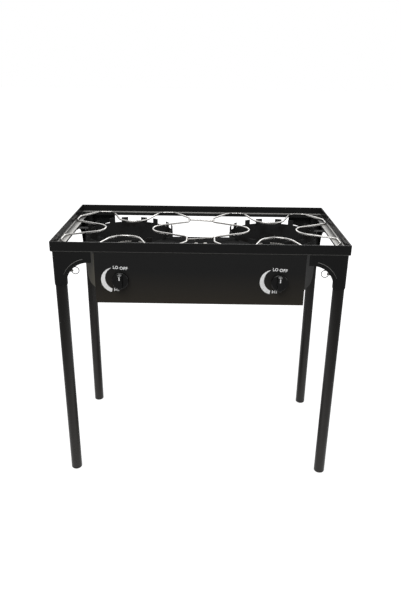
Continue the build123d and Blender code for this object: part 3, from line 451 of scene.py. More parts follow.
def painted_highlight_mask(tree):
    """A painted highlight on the rolled foot of the rails and the top of the brackets' beads."""
    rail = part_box("frame_rail_front")[0].z
    z, facing = place_parts(tree)["Z"], facing_parts(tree)["Z"]
    soft, foot_height, gap = 0.06, 0.005, 0.001
    foot = times(tree, band(tree, facing, -0.92, -0.30, soft), band(tree, z, rail, rail + foot_height))
    under_rail = ramp(tree, z, rail - gap, rail, 1.0, 0.0)
    bead_highlight = times(tree, band(tree, facing, 0.22, 0.92, soft), under_rail)
    return maths(tree, "MAXIMUM", foot, bead_highlight)


def painted_cheek_sheen_mask(tree):
    """The panel's left cheek, with a painted sheen for the light it catches."""
    return ramp(tree, facing_parts(tree)["X"], -0.3, -0.6)


def tooth_mask(tree):
    """The tops of the burner caps' teeth, drawn lighter, with the slots between them left dark."""
    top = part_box("burner_cap_left")[1].z
    return ramp(tree, place_parts(tree)["Z"], top - 0.0010, top - 0.0003)


def grip_highlight_mask(tree):
    """A painted highlight on the top end of each knob's grip."""
    low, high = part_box("knob_left")
    axis = (low.z + high.z) / 2
    end = ramp(tree, place_parts(tree)["Z"], axis + 0.0178, axis + 0.0192)
    front = ramp(tree, place_parts(tree)["Y"], low.y + 0.0095, low.y + 0.0105, 1.0, 0.0)
    return times(tree, end, front)


def finishes(colours):
    """One material for each finish that the stove has."""
    made = {}
    enamel = Finish("Frame enamel", colours.enamel, 0.26, specular=0.08)
    # The ledge's rubbed metal with its painted light, then a painted highlight on the rails' rolled foot and
    # the beads' tops.
    enamel.cover(ledge_wear_and_painted_light_mask(enamel.tree), colours.bare_metal_and_painted_light).cover(painted_highlight_mask(enamel.tree), (0.115, 0.113, 0.110))
    # Lighter edges, rubbed paint with a painted highlight, then scratches.
    enamel.edges(0.0014, (0.035, 0.034, 0.032)).scratches((0.030, 0.029, 0.028), 0.35)
    made["frame_enamel"] = enamel.grain(700.0, 0.00003, 0.05)
    leg = Finish("Leg enamel", colours.leg, 0.30, specular=0.36)
    leg.dust(colours.dust, 0.2, 0.50, 0.70).scratches((0.045, 0.042, 0.038), 0.4, 40.0)
    made["leg_enamel"] = leg.grain(700.0, 0.00003, 0.06)
    panel = Finish("Panel enamel", colours.panel, 0.34, specular=0.20)
    # Painted reflection: browner towards the panel's foot.
    panel_foot_reflection_mask = ramp(panel.tree, place_parts(panel.tree)["Z"], 0.57, 0.66, 1.0, 0.0)
    # Painted sheen on the left cheek.
    panel.cover(panel_foot_reflection_mask, colours.panel_foot_reflection).cover(painted_cheek_sheen_mask(panel.tree), colours.cheek)
    panel.edges(0.0012, (0.026, 0.024, 0.022))
    made["panel_enamel"] = panel.scratches((0.022, 0.021, 0.020), 0.3).grain(800.0, 0.00002, 0.05)
    shield = Finish("Heat-proof enamel", colours.shield, 0.62, specular=0.08)
    shield.edges(0.0010, (0.030, 0.029, 0.027)).patches((0.010, 0.0085, 0.0075), 22.0, 0.5, 0.7)
    shield.scratches((0.060, 0.058, 0.055), 0.5, 50.0)
    made["shield_enamel"] = shield.grain(500.0, 0.00005, 0.08)
    deck = Finish("Deck enamel", colours.deck, 0.75, specular=0.04)
    deck.edges(0.0008, (0.022, 0.022, 0.021)).scratches((0.040, 0.039, 0.037), 0.5)
    made["deck"] = deck.grain(500.0, 0.00005, 0.08)
    bars = Finish("Bar enamel", colours.enamel, 0.45, specular=0.2)
    made["bar_enamel"] = bars.edges(0.0012, (0.04, 0.038, 0.035)).grain(500.0, 0.00004, 0.08)
    iron = Finish("Cast iron", colours.iron, 0.62, metallic=0.35, specular=0.3)
    iron.cover(tooth_mask(iron.tree), (0.36, 0.35, 0.33)).edges(0.0010, (0.12, 0.115, 0.11))
    iron.patches((0.050, 0.032, 0.022), 40.0, 0.55, 0.75)
    made["burner_iron"] = iron.grain(320.0, 0.00025, 0.1, 30.0)
    wire = Finish("Plated wire", colours.wire, 0.27, metallic=1.0)
    made["grate_chrome"] = wire.patches((0.50, 0.48, 0.45), 40.0, 0.5, 0.75).grain(260.0, 0.00001, 0.05, 40.0)
    weld = Finish("Weld bead", colours.weld, 0.42, metallic=0.85)
    made["weld"] = weld.patches((0.08, 0.07, 0.065), 300.0, 0.45, 0.65).grain(900.0, 0.00008, 0.1, 200.0)
    zinc = Finish("Zinc plate", colours.zinc, 0.30, metallic=1.0)
    made["bolt_zinc"] = zinc.patches((0.40, 0.38, 0.33), 120.0, 0.5, 0.7).grain(420.0, 0.00002, 0.08, 60.0)
    pin = Finish("Pin steel", colours.zinc, 0.36, metallic=1.0)
    made["pin_steel"] = pin.patches((0.34, 0.32, 0.28), 90.0, 0.5, 0.7).grain(420.0, 0.00002, 0.08, 60.0)
    ring = Finish("Ring steel", (0.085, 0.083, 0.080), 0.30, metallic=0.8)
    made["ring_steel"] = ring.grain(420.0, 0.00001, 0.06, 60.0)
    shutter = Finish("Pressed steel", (0.42, 0.42, 0.41), 0.38, metallic=1.0)
    shutter.patches((0.30, 0.29, 0.28), 45.0, 0.45, 0.7)
    made["shutter_steel"] = shutter.grain(420.0, 0.00002, 0.08, 60.0)
    brass = Finish("Turned brass", colours.brass, 0.3, metallic=1.0)
    made["valve_brass"] = brass.patches((0.40, 0.25, 0.09), 60.0, 0.5, 0.75).grain(380.0, 0.00003, 0.08, 50.0)
    knob = Finish("Knob plastic", colours.plastic, 0.20, specular=0.50)
    # A painted highlight on the grip's top end; the lighter edges paint highlight arcs on the rim.
    knob.cover(grip_highlight_mask(knob.tree), (0.17, 0.17, 0.17))
    made["knob_plastic"] = knob.edges(0.0007, (0.034, 0.034, 0.034)).grain(900.0, 0.00002, 0.05)
    foot = Finish("Foot plastic", (0.012, 0.012, 0.012), 0.55, specular=0.3)
    made["foot_plastic"] = foot.dust(colours.dust, 0.2, 0.6, 0.03).grain(500.0, 0.00004, 0.08)
    ink = Finish("Panel print", colours.ink, 0.5, specular=0.2)
    made["ink"] = ink.patches((0.66, 0.66, 0.65), 220.0, 0.55, 0.7).grain(900.0, 0.00001, 0.05)
    return {slot: finish.material for slot, finish in made.items()}


# Nodes that look different from the rest of their slot.
LOOKS = {"deck_plate": "deck"}
MATERIALS = {}


def material(slot):
    """The material of a slot, made on first use."""
    if not MATERIALS:
        MATERIALS.update(finishes(bpy.context.scene.stove_colours))
    return MATERIALS[slot]


# ---------------------------------------------------------------- mesh helpers


def finish_piece(shape, name, body, slot, look=None, smooth=False):
    """Turns a bmesh into an object that rides on a body and has its slot's finish."""
    bmesh.ops.remove_doubles(shape, verts=shape.verts, dist=1e-6)
    bmesh.ops.recalc_face_normals(shape, faces=shape.faces)
    mesh = bpy.data.meshes.new(name)
    shape.to_mesh(mesh)
    shape.free()
    if smooth:
        mesh.shade_smooth()
        mesh.set_sharp_from_angle(angle=math.radians(35))
    piece = bpy.data.objects.new(name, mesh)
    bpy.context.scene.collection.objects.link(piece)
    mesh.materials.append(material(look or slot))
    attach(piece, body)
    return piece


def moved(shape, matrix):
    bmesh.ops.transform(shape, matrix=matrix, verts=shape.verts)
    return shape


def merged(shapes):
    """Several shapes as one."""
    whole = bmesh.new()
    for shape in shapes:
        mesh = bpy.data.meshes.new("shape")
        shape.to_mesh(mesh)
        shape.free()
        whole.from_mesh(mesh)
        bpy.data.meshes.remove(mesh)
    return whole


def push(shape, faces, way, cap=False):
    """Draws faces out along a way and drops the old ones, unless they cap the shape."""
    drawn = bmesh.ops.extrude_face_region(shape, geom=faces)["geom"]
    if not cap:
        bmesh.ops.delete(shape, geom=[face for face in faces if face.is_valid], context="FACES_ONLY")
    points = [item for item in drawn if isinstance(item, bmesh.types.BMVert)]
    bmesh.ops.translate(shape, vec=way, verts=points)
    return points, [item for item in drawn if isinstance(item, bmesh.types.BMFace)]


def bevel(shape, edges, offset, segments):
    bmesh.ops.bevel(
        shape, geom=edges, offset=offset, segments=segments, profile=0.5, affect="EDGES", material=-1
    )


def turned(profile, steps=32):
    """A shape turned about Z from radius and height points."""
    shape = bmesh.new()
    points = [shape.verts.new((radius, 0, height)) for radius, height in profile]
    line = [shape.edges.new(pair) for pair in zip(points, points[1:])]
    bmesh.ops.spin(
        shape, geom=points + line, axis=(0, 0, 1), cent=(0, 0, 0), angle=math.tau, steps=steps, use_merge=True
    )
    bmesh.ops.remove_doubles(shape, verts=shape.verts, dist=1e-6)
    return shape


def hexagon(across, low, high, chamfer):
    """A hexagonal nut or head along Z with chamfered rims."""
    shape = bmesh.new()
    corner = across / math.sqrt(3)
    bmesh.ops.create_cone(shape, cap_ends=True, segments=6, radius1=corner, radius2=corner, depth=high - low)
    bmesh.ops.translate(shape, vec=(0, 0, (low + high) / 2), verts=shape.verts)
    rims = [edge for edge in shape.edges if abs(edge.verts[0].co.z - edge.verts[1].co.z) < 1e-6]
    bevel(shape, rims, chamfer, 2)
    return shape


def thread(radius, pitch, depth, low, high):
    """A helical ridge about Z, closed at both ends."""
    shape = bmesh.new()
    profile = ((radius - depth, -0.44 * pitch), (radius, 0.0), (radius - depth, 0.44 * pitch))
    points = [shape.verts.new((r, 0, low + pitch / 2 + z)) for r, z in profile]
    start = shape.faces.new(points)
    turns = (high - low) / pitch - 1
    steps = math.ceil(turns * 24)
    geometry = [*points, *start.edges, start]
    bmesh.ops.spin(
        shape, geom=geometry, axis=(0, 0, 1), cent=(0, 0, 0), dvec=(0, 0, pitch * turns / steps),
        angle=math.tau * turns, steps=steps,
    )
    return shape


def dome(diameter, rise, seat=0.0):
    """A domed screw head on its seat, with a cross recess."""
    radius = diameter / 2
    side, turns = 0.25, (0.0, 0.35, 0.7, 1.05, 1.35)
    edge = [(radius * math.cos(turn), rise * (side + (1 - side) * math.sin(turn))) for turn in turns]
    profile = [(0, 0), (radius, 0), *edge, (0, rise)]
    shape = turned([(r, seat + z) for r, z in profile])
    width, reach, depth = diameter * 0.13, diameter * 0.30, rise * 0.45
    for normal in (Vector((1, 0, 0)), Vector((0, 1, 0))):
        for offset in (-reach, -width / 2, width / 2, reach):
            whole = shape.verts[:] + shape.edges[:] + shape.faces[:]
            bmesh.ops.bisect_plane(shape, geom=whole, plane_co=normal * offset, plane_no=normal, dist=1e-7)
    shape.normal_update()
    inside = []
    for face in shape.faces:
        centre = face.calc_center_median()
        near, far = sorted((abs(centre.x), abs(centre.y)))
        if face.normal.z > 0.2 and near < width / 2 and far < reach:
            inside.append(face)
    push(shape, inside, (0, 0, -depth))
    return shape


# Radii along a weld bead as shares of its own: at the tips, and round the rings of one ripple.
BEAD_TIP = 0.4
BEAD_RIPPLE = (1.0, 1.12, 0.92)


def bead(start, end, radius, ripples):
    """A rippled weld bead laid from one point to another."""
    start, end = Vector(start), Vector(end)
    shape = bmesh.new()
    bmesh.ops.create_circle(shape, cap_ends=True, segments=10, radius=radius * BEAD_TIP)
    rings = len(BEAD_RIPPLE)
    tip, was, steps = shape.faces[:], BEAD_TIP, ripples * rings
    for step in range(1, steps + 1):
        points, tip = push(shape, tip, (0, 0, (end - start).length / steps), cap=step == 1)
        now = BEAD_TIP if step == steps else BEAD_RIPPLE[step % rings]
        bmesh.ops.scale(shape, vec=(now / was, now / was, 1.0), verts=points)
        was = now
    turn = (end - start).to_track_quat("Z", "Y").to_matrix().to_4x4()
    return moved(shape, Matrix.Translation(start) @ turn)


def bead_about(centre, half, radius, ripples):
    """A weld bead that reaches as far to one side of a point as to the other."""
    return bead(centre - half, centre + half, radius, ripples)


def letters(text, width, height, thickness):
    """Raised lettering of a set width and height, standing up at the origin and read from the front."""
    curve = bpy.data.curves.new("letters", "FONT")
    curve.body = text
    curve.size = height
    curve.offset = height * 0.035
    curve.space_character = 1.12
    curve.extrude = thickness / 2
    holder = bpy.data.objects.new("letters", curve)
    bpy.context.scene.collection.objects.link(holder)
    bpy.context.view_layer.update()
    mesh = bpy.data.meshes.new_from_object(holder.evaluated_get(bpy.context.evaluated_depsgraph_get()))
    bpy.data.objects.remove(holder)
    shape = bmesh.new()
    shape.from_mesh(mesh)
    bpy.data.meshes.remove(mesh)
    wide = [vert.co.x for vert in shape.verts]
    tall = [vert.co.y for vert in shape.verts]
    to_middle = (-(min(wide) + max(wide)) / 2, -(min(tall) + max(tall)) / 2, 0)
    bmesh.ops.translate(shape, vec=to_middle, verts=shape.verts)
    size = (width / (max(wide) - min(wide)), height / (max(tall) - min(tall)), 1)
    bmesh.ops.scale(shape, vec=size, verts=shape.verts)
    return moved(shape, Matrix.Rotation(math.pi / 2, 4, "X"))


# ---------------------------------------------------------------- dial print


def heat_band(sizes):
    """The crescent beside a knob: a short line spun round one circle, its inner edge drawn to another."""
    shape = bmesh.new()
    outer, hollow = sizes.band_radius, sizes.hollow_radius
    rim, core = shape.verts.new((outer, 0, 0)), shape.verts.new((outer / 2, 0, 0))
    edge = shape.edges.new((rim, core))
    sweep = sizes.band_end - sizes.band_start
    start = Matrix.Rotation(-sizes.band_start, 3, "Y")
    bmesh.ops.rotate(shape, cent=(0, 0, 0), matrix=start, verts=[rim, core])
    bmesh.ops.spin(shape, geom=[rim, core, edge], axis=(0, -1, 0), cent=(0, 0, 0), angle=sweep, steps=56)
    away = sizes.hollow_middle
    for vert in shape.verts:
        if vert.co.length < outer * 0.75:
            way = vert.co.normalized()
            along = way.dot(away)
            vert.co = way * (along + math.sqrt(hollow**2 - away.length_squared + along**2))
    push(shape, shape.faces[:], (0, -sizes.thickness, 0), cap=True)
    return shape


def add_dials(sizes):
    """The heat band and its three words beside each knob."""
    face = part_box("control_panel")[0].y
    words = (
        ("LO", sizes.low_place, sizes.low_width, sizes.word_lean * 0.5),
        ("OFF", sizes.off_place, sizes.off_width, sizes.word_lean),
        ("HI", sizes.high_place, sizes.high_width, 0.0),
    )
    for side in SIDES:
        centre = middle(f"knob_{side}")
        hub = Vector((centre.x, face, centre.z))
        crescent = moved(heat_band(sizes), Matrix.Translation(hub + sizes.band_middle))
        finish_piece(crescent, f"heat_band_{side}", "stand", "knob_plastic", "ink")
        for text, place, width, lean in words:
            at = Matrix.Translation(hub + place - Vector((0, sizes.thickness / 2, 0)))
            word = letters(text, width, sizes.letter_height, sizes.thickness)
            moved(word, at @ Matrix.Rotation(lean, 4, "Y"))
            finish_piece(word, f"word_{text.lower()}_{side}", "stand", "knob_plastic", "ink")


def add_pointers(sizes):
    """The white line let into each knob's grip."""
    depth, behind_front = 0.0008, 0.000395
    for side in SIDES:
        centre, front = middle(f"knob_{side}"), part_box(f"knob_{side}")[0].y
        shape = bmesh.new()
        bmesh.ops.create_cube(shape, size=1.0)
        bmesh.ops.scale(shape, vec=(sizes.pointer_width, depth, sizes.pointer_length), verts=shape.verts)
        place = (centre.x, front + behind_front, centre.z + sizes.pointer_rise)
        bmesh.ops.translate(shape, vec=place, verts=shape.verts)
        ends = [e for e in shape.edges if abs(e.verts[0].co.y - e.verts[1].co.y) > depth / 2]
        bevel(shape, ends, sizes.pointer_width * 0.45, 4)
        finish_piece(shape, f"pointer_{side}", f"knob_{side}", "knob_plastic", "ink")


# ---------------------------------------------------------------- fasteners and fittings


# Height of a nut as a share of its bolt's diameter, and of a domed head as a share of its own.
NUT_HEIGHT = 0.8
HEAD_RISE = 0.32
# The thread that shows past a nut, and the thickness of a washer.
THREAD_END = 0.0015
WASHER = 0.0008


def nutted_bolt(diameter, head, rise, seat, under):
    """A domed bolt on Z: head above its seat, chamfered nut below the sheets, thread showing past the nut."""
    foot = under - diameter * NUT_HEIGHT
    nut = hexagon(diameter * 1.7, foot, under, diameter * 0.08)
    low = foot - THREAD_END
    core = diameter / 2 * 0.86
    shank = turned([(0, low), (core * 0.8, low), (core, low + 0.0005), (core, seat), (0, seat)], 20)
    ridge = thread(diameter / 2, diameter * 0.16, diameter * 0.08, low + 0.0002, foot + 0.0003)
    return merged([dome(head, rise, seat), nut, shank, ridge])


def add_bolts(sizes):
    """Bolts with recessed heads, chamfered nuts and threads, each in its plain bolt's place."""
    rows = {
        "panel_bolts": (sizes.panel_bolt, sizes.panel_head, 3),
        "deck_bolts": (sizes.deck_bolt, sizes.deck_head, 2),
    }
    for node, (diameter, head, count) in rows.items():
        low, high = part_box(node)
        rise = head * HEAD_RISE
        seat, under = high.z - rise, low.z + diameter * NUT_HEIGHT + THREAD_END
        bolts = []
        for step in range(count):
            x = low.x + head / 2 + (high.x - low.x - head) * step / (count - 1)
            place = Matrix.Translation((x, (low.y + high.y) / 2, 0)) @ Matrix.Rotation(0.6 + step, 4, "Z")
            bolts.append(moved(nutted_bolt(diameter, head, rise, seat, under), place))
        piece = finish_piece(merged(bolts), f"{node}_turned", "stand", "bolt_zinc", smooth=True)
        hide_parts(node)
    low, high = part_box("burner_bolts")
    across, radius = high.y - low.y, sizes.burner_bolt / 2
    rim = across * 0.62
    bolts = []
    for side in SIDES:
        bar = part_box(f"burner_bar_{side}")[0].z
        seat = bar - WASHER
        head = hexagon(across, low.z, seat, 0.0008)
        washer = turned([(0, seat), (rim, seat), (rim, bar), (0, bar)])
        shank = turned([(0, bar), (radius, bar), (radius, high.z), (0, high.z)], 20)
        place = Matrix.Translation((middle(f"burner_bar_{side}").x, (low.y + high.y) / 2, 0))
        bolts.append(moved(merged([head, washer, shank]), place))
    piece = finish_piece(merged(bolts), "burner_bolts_turned", "stand", "bolt_zinc", smooth=True)
    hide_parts("burner_bolts")


def add_valve_screws(sizes):
    """The cross-recessed screws that hold each valve to the panel."""
    low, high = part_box("valve_screws")
    head, radius = sizes.valve_screw_head, sizes.valve_screw / 2
    rise = head * HEAD_RISE
    tip = -(high.y - low.y - rise)
    knob = middle("knob_right")
    outer = high.x - head / 2
    inner = 2 * knob.x - outer
    profile = [(0, tip), (radius * 0.8, tip), (radius, tip + 0.0006), (radius, 0), (0, 0)]
    forwards = Matrix.Rotation(math.pi / 2, 4, "X")
    screws = []
    for x in (-outer, -inner, inner, outer):
        ridge = thread(radius, radius * 0.35, radius * 0.16, tip, tip + 0.004)
        screw = merged([dome(head, rise), turned(profile, 20), ridge])
        place = Matrix.Translation((x, low.y + rise, knob.z)) @ forwards
        screws.append(moved(screw, place @ Matrix.Rotation(0.4 + 20 * x, 4, "Z")))
    piece = finish_piece(merged(screws), "valve_screws_turned", "stand", "bolt_zinc", smooth=True)
    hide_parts("valve_screws")


PIPE_RADIUS = 0.010
# The inlet's thread: outer radius and depth.
INLET_THREAD = (0.00795, 0.0007)
# The collar above a union nut: radius at its foot and at its top, and height.
COLLAR = (0.0076, 0.0069, 0.0014)


def add_fittings(sizes):
    """The threaded gas inlet, and a union nut under each valve."""
    low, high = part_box("gas_inlet")
    bore, (radius, depth) = sizes.inlet_bore / 2, INLET_THREAD
    core = radius - depth
    start, turns_end, end = sizes.inlet_hex, sizes.inlet_hex + sizes.inlet_thread, high.y - low.y
    lip = radius - (end - turns_end)
    profile = [(bore, start), (core, start), (core, turns_end), (lip, end), (bore, end), (bore, start)]
    shapes = [
        hexagon(high.z - low.z, 0.0, start, 0.0008),
        turned(profile),
        thread(radius, sizes.inlet_pitch, depth, start + 0.0008, turns_end),
    ]
    backwards = Matrix.Rotation(-math.pi / 2, 4, "X")
    place = Matrix.Translation(((low.x + high.x) / 2, low.y, (low.z + high.z) / 2)) @ backwards
    inlet = moved(merged(shapes), place)
    piece = finish_piece(inlet, "gas_inlet_turned", "stand", "valve_brass", smooth=True)
    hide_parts("gas_inlet")
    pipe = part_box("manifold")[0].y + PIPE_RADIUS
    wide, narrow, height = COLLAR
    for side in SIDES:
        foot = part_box(f"valve_{side}")[0].z
        seat = foot + sizes.union_height
        top = seat + height
        nut = hexagon(sizes.union_nut, foot, seat, 0.0009)
        collar = turned([(0, seat), (wide, seat), (narrow, top), (0, top)])
        place = Matrix.Translation((middle(f"valve_{side}").x, pipe, 0))
        union = moved(merged([nut, collar]), place)
        finish_piece(union, f"union_nut_{side}", "stand", "valve_brass", smooth=True)


def add_split_rings(sizes):
    """The pull rings as two close turns of flattened wire."""
    wire, broad = sizes.ring_wire, sizes.ring_breadth
    steps, turns = 88, 1.96
    for corner in CORNERS:
        node = f"pull_ring_{corner}"
        low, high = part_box(node)
        shape = bmesh.new()
        bmesh.ops.create_circle(shape, cap_ends=True, segments=12, radius=wire / 2)
        bmesh.ops.scale(shape, vec=(broad / wire, 1, 1), verts=shape.verts)
        bmesh.ops.translate(shape, vec=((high.z - low.z - broad) / 2, -wire / 2, 0), verts=shape.verts)
        geometry = shape.verts[:] + shape.edges[:] + shape.faces[:]
        bmesh.ops.spin(
            shape, geom=geometry, axis=(0, 1, 0), cent=(0, 0, 0), dvec=(0, wire / steps, 0),
            angle=math.tau * turns, steps=steps,
        )
        moved(shape, Matrix.Translation((low + high) / 2) @ Matrix.Rotation(0.7, 4, "Y"))
        piece = finish_piece(shape, f"split_ring_{corner}", node, "ring_steel", smooth=True)
        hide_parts(node)


# ---------------------------------------------------------------- welds


def tie_ends():
    """Where the tie rods meet the rosettes' wires, from the rods' own points, and on which side."""
    points = [vert.co for vert in frame["nodes"]["grate_ties"].data.vertices]
    tip = 0.002
    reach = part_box("grate_ties")[1].x - tip
    level = middle("grate_ties").y
    for side in SIDES.values():
        for end in (-1, 1):
            near = [p for p in points if p.x * side > reach and (p.y - level) * end > 0]
            yield sum(near, Vector()) / len(near), side


def grate_beads(size):
    """Two beads where each tie rod meets a wire, one above the other."""
    offset, half = 0.0012, Vector((0, 0.0042, 0))
    for joint, side in tie_ends():
        for lift in (-offset, offset):
            yield bead_about(joint + Vector((-side * offset, 0, lift)), half, size, 3)


def ring_beads(size):
    """Beads where each wind ring meets the ends of its burner bar, and its strap."""
    sheet, half = 0.0012, Vector((0, 0.011, 0))
    for side, sign in SIDES.items():
        low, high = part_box(f"wind_ring_{side}")
        across, level = middle(f"wind_ring_{side}").y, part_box(f"burner_bar_{side}")[1].z
        for x in (low.x + sheet, high.x - sheet):
            yield bead_about(Vector((x, across, level)), half, size, 7)
        low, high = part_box(f"wind_ring_strap_{side}")
        inner = (low if sign > 0 else high).x + sign * 0.0035
        centre = Vector((inner, (low.y + high.y) / 2, low.z))
        yield bead_about(centre, Vector((-sign * 0.0017, 0.0065, 0)), size, 5)


def bracket_beads(size):
    """A bead along the top of each bracket wing, in the corner under the rail."""
    wall_gap, top_gap, start, end = 0.0006, 0.0004, 0.018, 0.021
    for corner, (sign_x, sign_y) in CORNERS.items():
        low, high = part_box(f"corner_bracket_{corner}")
        leg_low, leg_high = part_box(f"leg_{corner}")
        leg = middle(f"leg_{corner}")
        inset = (leg_high.x - leg_low.x) / 2 - wall_gap
        top = high.z - top_gap
        wall_x, wall_y = leg.x + sign_x * inset, leg.y + sign_y * inset
        reaches = (start, max(high.x - low.x, high.y - low.y) - end)
        for line in (
            [(leg.x - sign_x * reach, wall_y, top) for reach in reaches],
            [(wall_x, leg.y - sign_y * reach, top) for reach in reaches],
        ):
            yield bead(*line, size * 0.8, 20)


def hanger_bead(size):
    """A bead along the hanger's saddle, behind the top of the pipe."""
    pipe, (low, high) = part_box("manifold")[0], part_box("manifold_hanger")
    back, drop, end = 0.019, 0.0045, 0.004
    saddle = Vector((0, pipe.y + back, (pipe.z + 2 * PIPE_RADIUS) - drop))
    return bead_about(saddle, Vector(((high.x - low.x) / 2 - end, 0, 0)), size, 11)


def add_welds(sizes):
    """Rippled beads where the wires, bars, straps, brackets and hanger are joined."""
    size = sizes.weld
    grate = merged(grate_beads(size))
    finish_piece(grate, "grate_welds", "grate", "grate_chrome", "weld", smooth=True)
    stand = merged([*ring_beads(size), *bracket_beads(size), hanger_bead(size)])
    finish_piece(stand, "stand_welds", "stand", "bar_enamel", smooth=True)


# ---------------------------------------------------------------- stage


FLOOR_HALF = 30.0
LIT_POINT = Vector((0, 0, 0.55))
# Place, width and height of each light; its power is a setting.
LIGHTS = {
    "key": ((-0.5, -1.5, 2.4), 1.8, 1.2),
    "back": ((0.3, 2.2, 1.9), 2.6, 1.0),
    "fill": ((1.9, -0.6, 1.4), 1.2, 1.4),
}


def add_stage(stage):
    """The floor, the world, the three lights and the camera."""
    scene = bpy.context.scene
    scene.view_settings.view_transform = "Standard"
    shape = bmesh.new()
    bmesh.ops.create_grid(shape, x_segments=1, y_segments=1, size=FLOOR_HALF)
    mesh = bpy.data.meshes.new("floor")
    shape.to_mesh(mesh)
    shape.free()
    floor = bpy.data.objects.new("floor", mesh)
    scene.collection.objects.link(floor)
    mesh.materials.append(floor_material())
    floor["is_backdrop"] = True
    world_light()
    for name, (place, width, height) in LIGHTS.items():
        area_light(name, place, width, height, getattr(stage, name))
    add_camera(stage)


def seen_directly(tree):
    """Two masks: one for the camera's own rays, one for those of reflections and see-through surfaces."""
    path = add(tree, "ShaderNodeLightPath")
    mirrored = maths(tree, "MAXIMUM", path.outputs["Is Glossy Ray"], path.outputs["Is Transmission Ray"])
    return path.outputs["Is Camera Ray"], mirrored


def glow(tree, strength):
    """White light of a given strength."""
    node = add(tree, "ShaderNodeEmission", in_Color=(1, 1, 1, 1))
    join(tree, strength, node.inputs["Strength"])
    return node.outputs[0]


def floor_material():
    """A white floor with the stove's soft shadow; reflections see a glow with a painted shadow under the
    stove and a painted pool of light that dims far off.
    """
    white = bpy.data.materials.new("Studio floor")
    white.use_nodes = True
    tree = white.node_tree
    tree.nodes.remove(tree.nodes["Principled BSDF"])
    camera, mirrored = seen_directly(tree)
    reach = add(tree, "ShaderNodeVectorMath", operation="LENGTH")
    join(tree, add(tree, "ShaderNodeTexCoord").outputs["Object"], reach.inputs[0])
    shown = ramp(tree, reach.outputs["Value"], 0.8, 2.4, 0.84, 1.0)
    # In reflections the floor glows: a painted pool of light round the stove that dims far off, and a painted
    # shadow under the stove.
    far = ramp(tree, reach.outputs["Value"], 0.45, 1.3, 1.0, 0.24)
    under = ramp(tree, reach.outputs["Value"], 0.18, 0.42, 0.25, 1.0)
    matte = add(tree, "ShaderNodeBsdfDiffuse", in_Color=(0.36, 0.36, 0.36, 1))
    seen = add(tree, "ShaderNodeAddShader")
    join(tree, matte.outputs[0], seen.inputs[0])
    join(tree, glow(tree, times(tree, camera, shown)), seen.inputs[1])
    either = add(tree, "ShaderNodeMixShader")
    join(tree, mirrored, either.inputs[0])
    join(tree, seen.outputs[0], either.inputs[1])
    join(tree, glow(tree, times(tree, far, under)), either.inputs[2])
    join(tree, either.outputs[0], tree.nodes["Material Output"].inputs["Surface"])
    return white


def world_light():
    """Plain white to the camera; in reflections, white behind the stove and dim in front of it."""
    world = bpy.data.worlds.new("Studio")
    bpy.context.scene.world = world
    world.use_nodes = True
    tree = world.node_tree
    background = tree.nodes["Background"]
    camera, mirrored = seen_directly(tree)
    towards = split(tree, add(tree, "ShaderNodeTexCoord").outputs["Generated"])
    above = ramp(tree, towards["Z"], 0.08, 0.38, 0.28, 1.0)
    behind = ramp(tree, towards["Y"], -0.45, 0.30, 0.10, 1.0)
    glossy = add(tree, "ShaderNodeMix", data_type="FLOAT", in_A=0.50)
    join(tree, mirrored, glossy.inputs["Factor"])
    join(tree, times(tree, above, behind), glossy.inputs["B"])
    plain = add(tree, "ShaderNodeMix", data_type="FLOAT", in_B=1.0)
    join(tree, camera, plain.inputs["Factor"])
    join(tree, glossy.outputs[0], plain.inputs["A"])
    join(tree, plain.outputs[0], background.inputs["Strength"])
    background.inputs["Color"].default_value = (1, 1, 1, 1)


def area_light(name, place, width, height, power):
    """A soft light that faces the stove."""
    lamp = bpy.data.lights.new(name, "AREA")
    lamp.shape = "RECTANGLE"
    lamp.size = width
    lamp.size_y = height
    lamp.energy = power
    holder = bpy.data.objects.new(name, lamp)
    bpy.context.scene.collection.objects.link(holder)
    holder.location = place
    holder.rotation_euler = (LIT_POINT - Vector(place)).to_track_quat("-Z", "Y").to_euler()


def add_camera(stage):
    yaw, pitch, roll = stage.yaw, stage.pitch, stage.roll
    forward = Vector((math.sin(yaw) * math.cos(pitch), math.cos(yaw) * math.cos(pitch), -math.sin(pitch)))
    right = Vector((math.cos(yaw), -math.sin(yaw), 0))
    up = right.cross(forward)
    turned_right = right * math.cos(roll) + up * math.sin(roll)
    turned_up = up * math.cos(roll) - right * math.sin(roll)
    lens = bpy.data.cameras.new("camera")
    lens.sensor_width = 36.0
    lens.lens = stage.lens
    lens.clip_end = 100.0
    camera = bpy.data.objects.new("camera", lens)
    bpy.context.scene.collection.objects.link(camera)
    facing = Matrix((turned_right, turned_up, -forward)).transposed().to_4x4()
    camera.matrix_world = Matrix.Translation(stage.camera) @ facing
    bpy.context.scene.camera = camera


# ---------------------------------------------------------------- operators


class STOVE_OT_finishes(bpy.types.Operator):
    """Gives every part of the stove its finish"""

    bl_idname = "stove.finishes"
    bl_label = "Finishes"

    def execute(self, context):
        for part in frame["record"]["subparts"]:
            slots = frame["nodes"][part["node"]].data.materials
            slots.clear()
            slots.append(material(LOOKS.get(part["node"], part["material_slot"])))
        return {"FINISHED"}


class STOVE_OT_dials(bpy.types.Operator):
    """Prints the heat band and its words beside each knob"""

    bl_idname = "stove.dials"
    bl_label = "Dial print"

    def execute(self, context):
        add_dials(context.scene.stove_print)
        return {"FINISHED"}


class STOVE_OT_pointers(bpy.types.Operator):
    """Lets the white line into each knob"""

    bl_idname = "stove.pointers"
    bl_label = "Knob pointers"

    def execute(self, context):
        add_pointers(context.scene.stove_print)
        return {"FINISHED"}


class STOVE_OT_bolts(bpy.types.Operator):
    """Puts recessed, threaded bolts in place of the plain ones"""

    bl_idname = "stove.bolts"
    bl_label = "Bolts"

    def execute(self, context):
        add_bolts(context.scene.stove_hardware)
        return {"FINISHED"}


